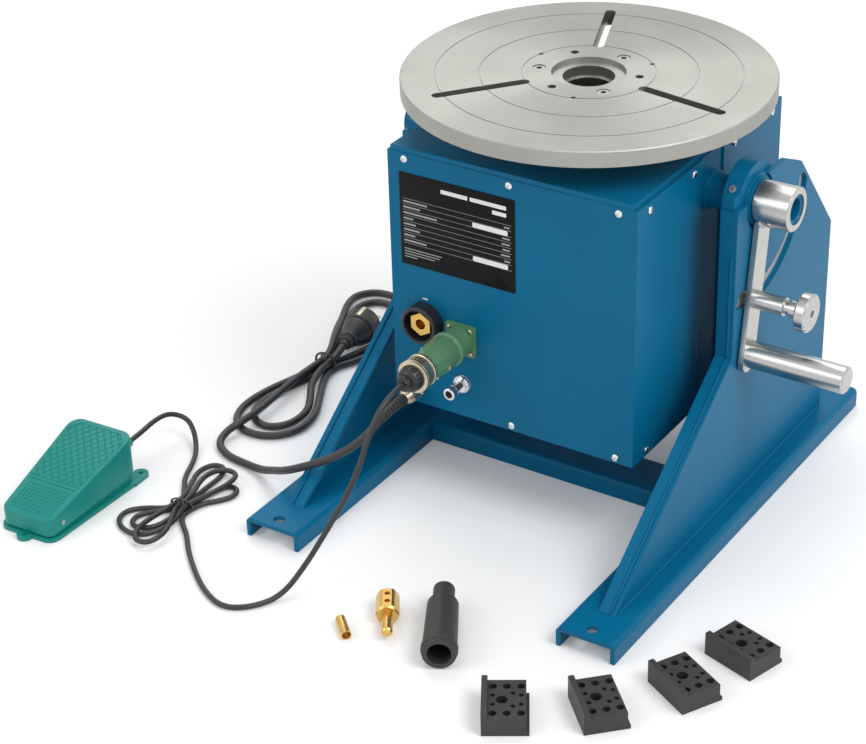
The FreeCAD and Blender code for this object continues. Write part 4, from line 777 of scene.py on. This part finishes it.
def pedal_block(name, inset, height):
    """The foot switch's outline as a block on the floor, moved inwards by an amount."""
    clear_selection()
    bpy.ops.mesh.primitive_cube_add(size=1)
    piece = bpy.context.active_object
    piece.name = name
    long, wide, narrow = [value - 2 * inset for value in (PEDAL_LONG, PEDAL_WIDE, PEDAL_NARROW)]
    piece.scale = (wide * MM, long * MM, height * MM)
    piece.location = (0, 0, height * MM / 2)
    bpy.ops.object.transform_apply(location=True, scale=True)
    near_end = 0.9 * long * MM / 2
    bpy.ops.object.mode_set(mode="EDIT")
    bpy.ops.mesh.select_mode(type="VERT")
    for end, widen, corner, steps in ((-1, narrow / wide, TOE_CORNER, 5), (1, 1, HEEL_CORNER, 8)):
        bpy.ops.mesh.select_all(action="DESELECT")
        mesh = bmesh.from_edit_mesh(piece.data)
        for vertex in mesh.verts:
            vertex.select_set(vertex.co.y * end > near_end)
        mesh.select_flush(True)
        bmesh.update_edit_mesh(piece.data)
        bpy.ops.transform.resize(value=(widen, 1, 1), center_override=(0, 0, 0))
        bpy.ops.mesh.select_all(action="DESELECT")
        mesh = bmesh.from_edit_mesh(piece.data)
        for edge in mesh.edges:
            low, high = edge.verts
            upright = (low.co - high.co).xy.length < 1e-6
            if upright and low.co.y * end > near_end:
                edge.select_set(True)
        bmesh.update_edit_mesh(piece.data)
        bpy.ops.mesh.bevel(offset=(corner - inset) * MM, segments=steps, affect="EDGES")
    bpy.ops.object.mode_set(mode="OBJECT")
    return piece


# %% Helpers: a sloping cut, and a hollow shell
def slope_cut(piece, toe, heel, keep_below):
    """Cut a piece with a plane that rises from the toe to the heel."""
    pick(piece)
    bpy.ops.object.mode_set(mode="EDIT")
    bpy.ops.mesh.select_all(action="SELECT")
    across = Vector((0, -(heel - toe), PEDAL_LONG)).normalized()
    bpy.ops.mesh.bisect(plane_co=(0, -PEDAL_LONG * MM / 2, toe * MM), plane_no=across,
                        use_fill=True, clear_outer=keep_below, clear_inner=not keep_below)
    bpy.ops.object.mode_set(mode="OBJECT")


def open_shell(piece, wall, keep_top):
    """Delete the underside, and the top if asked, and give the rest a thickness inwards."""
    pick(piece)
    bpy.ops.object.mode_set(mode="EDIT")
    bpy.ops.mesh.select_mode(type="FACE")
    bpy.ops.mesh.select_all(action="DESELECT")
    mesh = bmesh.from_edit_mesh(piece.data)
    for face in mesh.faces:
        face.select_set(face.normal.z < -0.9 or (face.normal.z > 0.9 and not keep_top))
    bmesh.update_edit_mesh(piece.data)
    bpy.ops.mesh.delete(type="FACE")
    bpy.ops.object.mode_set(mode="OBJECT")
    apply_modifier(piece, "SOLIDIFY", thickness=wall * MM, offset=-1)


# %% A helper for rounded blocks
def block(name, size, centre):
    """A block with slightly rounded edges, in millimetres."""
    clear_selection()
    bpy.ops.mesh.primitive_cube_add(size=1)
    piece = bpy.context.active_object
    piece.name = name
    piece.scale = [value * MM for value in size]
    piece.location = [value * MM for value in centre]
    bpy.ops.object.transform_apply(location=True, scale=True)
    apply_modifier(piece, "BEVEL", width=0.3 * MM, segments=2)
    return piece


# %% Treadle
RIM_TOE, RIM_HEEL = 6, 16.5
TREADLE_WALL = 1.3
treadle = pedal_block("foot_treadle", 0, 80)
slope_cut(treadle, PEDAL_TOE, PEDAL_HEEL, True)
slope_cut(treadle, RIM_TOE, RIM_HEEL, False)
pick(treadle)
bpy.ops.object.mode_set(mode="EDIT")
bpy.ops.mesh.select_mode(type="FACE")
bpy.ops.mesh.select_all(action="DESELECT")
treadle_mesh = bmesh.from_edit_mesh(treadle.data)
for face in treadle_mesh.faces:
    face.select_set(face.normal.z > 0.9)
bmesh.update_edit_mesh(treadle.data)
bpy.ops.mesh.region_to_loop()
bpy.ops.mesh.bevel(offset=2.2 * MM, segments=3, affect="EDGES")
bpy.ops.object.mode_set(mode="OBJECT")
open_shell(treadle, TREADLE_WALL, True)
carve(treadle, block("rear_opening", (60, 30, 57), (0, 70, 27)))
print("treadle", [round(value / MM) for value in treadle.dimensions])

# %% [markdown]
# The treadle's top is moulded with a tread: raised ribs that cross in diamonds over the
# rear two thirds, a bar, and rows of small studs at the toe.  The ribs are a square grid
# turned by 45 degrees, cut to the outline with bisecting planes and turned into bars by
# the Wireframe modifier, which is quicker than laying every rib.  One stud is modelled
# and repeated by two arrays.

# %% Diamond ribs
clear_selection()
bpy.ops.mesh.primitive_grid_add(x_subdivisions=24, y_subdivisions=24, size=170 * MM)
ribs = bpy.context.active_object
ribs.name = "tread_ribs"
bpy.ops.object.mode_set(mode="EDIT")
bpy.ops.mesh.select_all(action="SELECT")
bpy.ops.transform.rotate(value=math.radians(45), orient_axis="Z", center_override=(0, 0, 0))
bpy.ops.transform.resize(value=(1, 1.22, 1), center_override=(0, 0, 0))
tread_cuts = [((0, 69), (0, 1)), ((0, -20), (0, -1))]
for way in (-1, 1):
    tread_cuts += [((way * 39, 74), (way, -0.068)), ((way * 31, 65), (way, 1))]
for (cut_x, cut_y), normal in tread_cuts:
    bpy.ops.mesh.select_all(action="SELECT")
    bpy.ops.mesh.bisect(plane_co=(cut_x * MM, cut_y * MM, 0), plane_no=(*normal, 0),
                        clear_outer=True)
bpy.ops.object.mode_set(mode="OBJECT")
apply_modifier(ribs, "WIREFRAME", thickness=1.7 * MM, use_replace=True, use_boundary=True,
               offset=0)
print("rib faces", len(ribs.data.polygons))

# %% Studs, and the tread on its slope
STUD_PITCH_ACROSS, STUD_PITCH_ALONG = 4.8, 4.6
stud = grow("stud", 4, [(-0.4, 2.0), (0.3, 1.9), (0.9, 1.0)])
stud.scale = (1, 1.1, 1)
move_to(stud, (-26.4 * MM, -68 * MM, 0))
for count, step in ((12, (STUD_PITCH_ACROSS * MM, 0, 0)), (9, (0, STUD_PITCH_ALONG * MM, 0))):
    apply_modifier(stud, "ARRAY", count=count, use_relative_offset=False,
                   use_constant_offset=True, constant_offset_displace=step)
bar = block("bar", (63, 2, 1.6), (0, -24, 0))
tread = join("foot_tread", [ribs, stud, bar])
slope = math.atan2(PEDAL_HEEL - PEDAL_TOE, PEDAL_LONG)
middle_level = (PEDAL_TOE + PEDAL_HEEL) / 2
tread.rotation_euler = (slope, 0, math.radians(PEDAL_TURN))
tread.location = PEDAL + Vector((0, 0, middle_level * MM))
pick(tread)
bpy.ops.object.transform_apply(location=True, rotation=True, scale=True)
dress(tread, teal_paint, "treadle")
move_to(treadle, PEDAL, roll=PEDAL_TURN)
dress(treadle, teal_paint, "treadle")
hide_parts("pedal_treadle")
print("tread faces", len(tread.data.polygons))

# %% Foot switch base with its ears
base = pedal_block("foot_base", -3, 4)
for across, along in ((0, -78), (38, 82)):
    ear = grow("ear", 32, [(0, 9), (4, 9)])
    inner = 12 if along < 0 else -12
    move_to(ear, (across * MM, along * MM, 0))
    carve(ear, block("neck", (18, 20, 3.9), (across, along + inner, 2)), "UNION")
    carve(base, ear, "UNION")
    hole = grow("hole", 24, [(-1, 3), (5, 3)])
    move_to(hole, (across * MM, along * MM, 0))
    carve(base, hole)
print("base", [round(value / MM) for value in base.dimensions])

# %% Lining, rear wall and cord boss
lining = pedal_block("lining", 2.6, 60)
slope_cut(lining, 14, 30, True)
open_shell(lining, 2, False)
back = block("back", (56, 5, 43), (0, 67, 22))
boss = grow("boss", 32, [(63, 6.5), (84, 6.5), (84.6, 6), (88, 5.6), (88, 3.1), (80, 3)])
move_to(boss, (21 * MM, 0, 37 * MM), (0, 1, 0))
base = join("foot_base", [base, lining, back, boss])
move_to(base, PEDAL, roll=PEDAL_TURN)
dress(base, teal_paint, "base", edge=0.3)
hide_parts("pedal_base")
print("base with lining", [round(value / MM) for value in base.dimensions])

# %% [markdown]
# ### The return spring
# A spring under the treadle lifts it again, and shortens when the treadle goes down.  It
# could be modelled anew, but its solid has the right shape already, so its mesh is copied.
# The copy's loose triangles are merged and its marks as a solid are cleared.

# %% Return spring
return_spring = nodes["pedal_spring"].copy()
return_spring.data = nodes["pedal_spring"].data.copy()
return_spring.name = "return_spring"
for key in list(return_spring.keys()):
    del return_spring[key]
scene.collection.objects.link(return_spring)
pick(return_spring)
bpy.ops.object.mode_set(mode="EDIT")
bpy.ops.mesh.select_all(action="SELECT")
bpy.ops.mesh.remove_doubles(threshold=0.001 * MM)
bpy.ops.object.mode_set(mode="OBJECT")
dress(return_spring, dark_steel, "base")
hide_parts("pedal_spring")
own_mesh(return_spring)
print("spring", round(return_spring.dimensions.z / MM), "mm high")

# %% [markdown]
# ### Boot, ties and mains plug
# The mains cord leaves its gland through a tapered, ribbed rubber boot.  The boot has to
# follow the cord, so its middle line is read from the cord's own curve, and a curve with
# its own radius at each point is turned into a mesh.  Each hank is held by a twist of
# black wire: a flattened torus round the bundle, and two short ends.

# %% Helpers for pieces that follow a line
def point_along(line, distance):
    """The point at a distance in metres from the start of a line."""
    for start, end in zip(line, line[1:]):
        step = (end - start).length
        if distance <= step:
            return start.lerp(end, distance / step)
        distance -= step
    return line[-1].copy()


def tube(name, points, radii):
    """A mesh tube through points, with its own radius in millimetres at each."""
    curve = bpy.data.curves.new(name, "CURVE")
    curve.dimensions = "3D"
    curve.bevel_depth = MM
    curve.bevel_resolution = 5
    curve.use_fill_caps = True
    spline = curve.splines.new("POLY")
    spline.points.add(len(points) - 1)
    for knot, point, radius in zip(spline.points, points, radii):
        knot.co = (*point, 1)
        knot.radius = radius
    piece = bpy.data.objects.new(name, curve)
    scene.collection.objects.link(piece)
    pick(piece)
    bpy.ops.object.convert(target="MESH")
    return bpy.context.active_object


# %% Boot on the mains cord
BOOT_LONG, BOOT_RADIUS, BOOT_TAPER = 42, 6.6, 1.5
GROOVE_PITCH, GROOVE_DEPTH = 5, 0.7
steps = range(BOOT_LONG + 1)
boot_radii = [BOOT_RADIUS - BOOT_TAPER * step / BOOT_LONG
              - (GROOVE_DEPTH if step % GROOVE_PITCH > 3 else 0) for step in steps]
boot = tube("mains_boot", [point_along(mains_line, step * MM) for step in steps], boot_radii)
dress(boot, rubber, "base")
print("boot", round(boot.dimensions.y / MM), "mm long")


# %% Wire ties
TIE_RADIUS, TIE_WIRE = 10, 1.1


def wire_tie(name, centre, facing, wide, high, ends):
    """A wire ring round a bundle, with its two twisted ends given from its centre."""
    clear_selection()
    bpy.ops.mesh.primitive_torus_add(major_segments=40, minor_segments=8,
                                     major_radius=TIE_RADIUS * MM, minor_radius=TIE_WIRE * MM)
    ring = bpy.context.active_object
    ring.scale = (wide / (2 * TIE_RADIUS), high / (2 * TIE_RADIUS), 1.3)
    move_to(ring, centre, facing)
    parts = [ring]
    for end in ends:
        points = [centre + Vector(point) * MM for point in end]
        parts.append(tube("end", points, [TIE_WIRE, 1.0, 0.9, 0.7]))
    tie = join(name, parts)
    dress(tie, rubber, "base")
    return tie


mains_tie = wire_tie("mains_tie", at(-361, -9, 12.9), (0.05, -1, 0), 27, 23,
                     [((2, 0, 11), (6, -4, 14), (9, -9, 14), (10, -14, 11)),
                      ((-2, 0, 11), (2, -7, 14), (3, -12, 16), (7, -16, 15))])
pedal_tie = wire_tie("pedal_tie", at(-320, -343, 8.4), (0.1, -1, 0), 27, 14,
                     [((2, 0, 6.5), (5, -3, 9), (9, -8, 9), (11, -12, 6)),
                      ((-2, 0, 6.5), (0, -5, 9), (3, -10, 10), (8, -13, 9))])
print("ties", mains_tie.name, pedal_tie.name)

# %% [markdown]
# ### The mains plug
# The plug is a moulded rubber body with a ribbed neck and a fluted grip, two round pins
# and an earth strip on either side.  The body is round, so it is grown from a circle
# along its own axis, and then turned to lie as it does among the turns of the hank.

# %% Mains plug body
PLUG, PLUG_FACING = at(-353, 4, 21), (-0.1564, 0.9877, 0)
plug_body = grow("mains_plug_body", 56, [
    (18, 5.4), (24, 6.2), (24.4, 8.6), (33, 8.9), (33.6, 10.8), (36, 10.8), (36.8, 9.8),
    (39, 10.6), (46, 15.2), (54, 18.6), (57.6, 19.4), (58.2, 18.2), (59.6, 18.2), (60.2, 20.4),
    (62, 21), (82, 21), (84, 19.6), (84.4, 12)])
flute(plug_body, 25, 32.8, 0.5, 360 / 56)
flute(plug_body, 63, 81, 0.4, 360 / 14)
move_to(plug_body, PLUG, PLUG_FACING)
dress(plug_body, rubber, "base")
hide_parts("mains_plug")
print("mains plug", [round(value / MM) for value in plug_body.dimensions])

# %% Pins and earth strips
PIN_SPACING, STRIP_OUT = 19, 20.6
metal_parts = [block("earth_strip", (5, 1.2, 20), (0, way * STRIP_OUT, 73)) for way in (-1, 1)]
for way in (-1, 1):
    pin = grow("pin", 20, [(83, 2.4), (101.4, 2.4), (102.6, 1.9), (103, 1)])
    move_to(pin, (way * PIN_SPACING / 2 * MM, 0, 0))
    metal_parts.append(pin)
plug_metal = join("mains_plug_metal", metal_parts)
move_to(plug_metal, PLUG, PLUG_FACING)
dress(plug_metal, nickel, "base")
print("plug metal", [round(value / MM) for value in plug_metal.dimensions])

# %% [markdown]
# ### Welds and lever screws
# The frame is welded from plate, and the paint runs over the beads.  A bead is a row of
# overlapping drops, so one small flattened drop is modelled and an array repeats it along
# the seam.  The lever's arm is welded to its hub with a bare steel bead in an arc, where
# the drops are set one by one.  Two socket screws hold the hub on its axle.

# %% A drop of weld, and a row of them
def weld_drop(name, radius, scale):
    """One flattened drop."""
    clear_selection()
    bpy.ops.mesh.primitive_uv_sphere_add(segments=10, ring_count=6, radius=radius * MM)
    drop = bpy.context.active_object
    drop.name = name
    drop.scale = scale
    bpy.ops.object.transform_apply(scale=True)
    return drop


def painted_weld(name, start, end, width):
    """A row of overlapping drops from one point to another, under the blue paint."""
    row = weld_drop(name, width / 2, (1, 0.8, 0.9))
    pitch = 0.5 * width * MM
    apply_modifier(row, "ARRAY", count=int((end - start).length / pitch),
                   use_relative_offset=False, use_constant_offset=True,
                   constant_offset_displace=(0, 0, pitch))
    move_to(row, start, end - start)
    dress(row, blue_paint, "base")


# %% Painted welds
STRIP_X, PLATE_X, CHANNEL_X = 199.3, 205.6, 161.3
seams = (("strip", (STRIP_X, -52, 205), (STRIP_X, -52, 322), 3.4),
         ("slope", (STRIP_X, -298, 26), (STRIP_X, -53, 202), 3.0),
         ("foot", (PLATE_X, -292, 23.4), (PLATE_X, 184, 23.4), 4.0),
         ("channel", (CHANNEL_X, -75, 22.4), (CHANNEL_X, -16, 22.4), 4.0),
         ("boss", (201, -50, 321), (186, -50, 321), 4.0))
for way, hand in ((-1, "left"), (1, "right")):
    for seam, (start_x, *start), (end_x, *end), width in seams:
        painted_weld("%s_%s_weld" % (hand, seam), at(way * start_x, *start),
                     at(way * end_x, *end), width)
print("painted welds", 2 * len(seams))

# %% Lever weld
LEVER_LEAN, AXLE_LEVEL = -9, 366
ARM_FACE, WELD_RADIUS, WELD_STEP = 214.2, 24.3, 4.6
drops = []
for step in range(-9, 10):
    around = math.radians(LEVER_LEAN - 90 + step * WELD_STEP)
    drop = weld_drop("weld_drop", 2.6, (0.8, 1, 1.1))
    move_to(drop, at(ARM_FACE, WELD_RADIUS * math.cos(around),
                     AXLE_LEVEL + WELD_RADIUS * math.sin(around)))
    drops.append(drop)
hub_weld = join("hub_weld", drops)
dress(hub_weld, index_steel, "head")
print("hub weld drops", len(drops))

# %% Hub screws
SCREW_X, SCREW_RADIUS = 224, 23.6
for count, around in enumerate((-138, -28)):
    away = Vector((0, math.cos(math.radians(around)), math.sin(math.radians(around))))
    hub_screw = grow("hub_screw_%d" % (count + 1), 24,
                     [(-1, 4.4), (0.9, 4.4), (1.5, 3.8), (1.5, 2.2), (0.2, 2.0)])
    move_to(hub_screw, at(SCREW_X, away.y * SCREW_RADIUS, AXLE_LEVEL + away.z * SCREW_RADIUS),
            away)
    dress(hub_screw, dark_steel, "head")
print("hub screws", count + 1)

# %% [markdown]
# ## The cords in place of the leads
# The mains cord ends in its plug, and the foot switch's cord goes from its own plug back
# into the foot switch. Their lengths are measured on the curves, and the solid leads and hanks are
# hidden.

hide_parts("mains_lead", "mains_hank")
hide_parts("pedal_lead", "pedal_hank", "pedal_tail")
print("cords", mains_cord.name, pedal_cord.name)
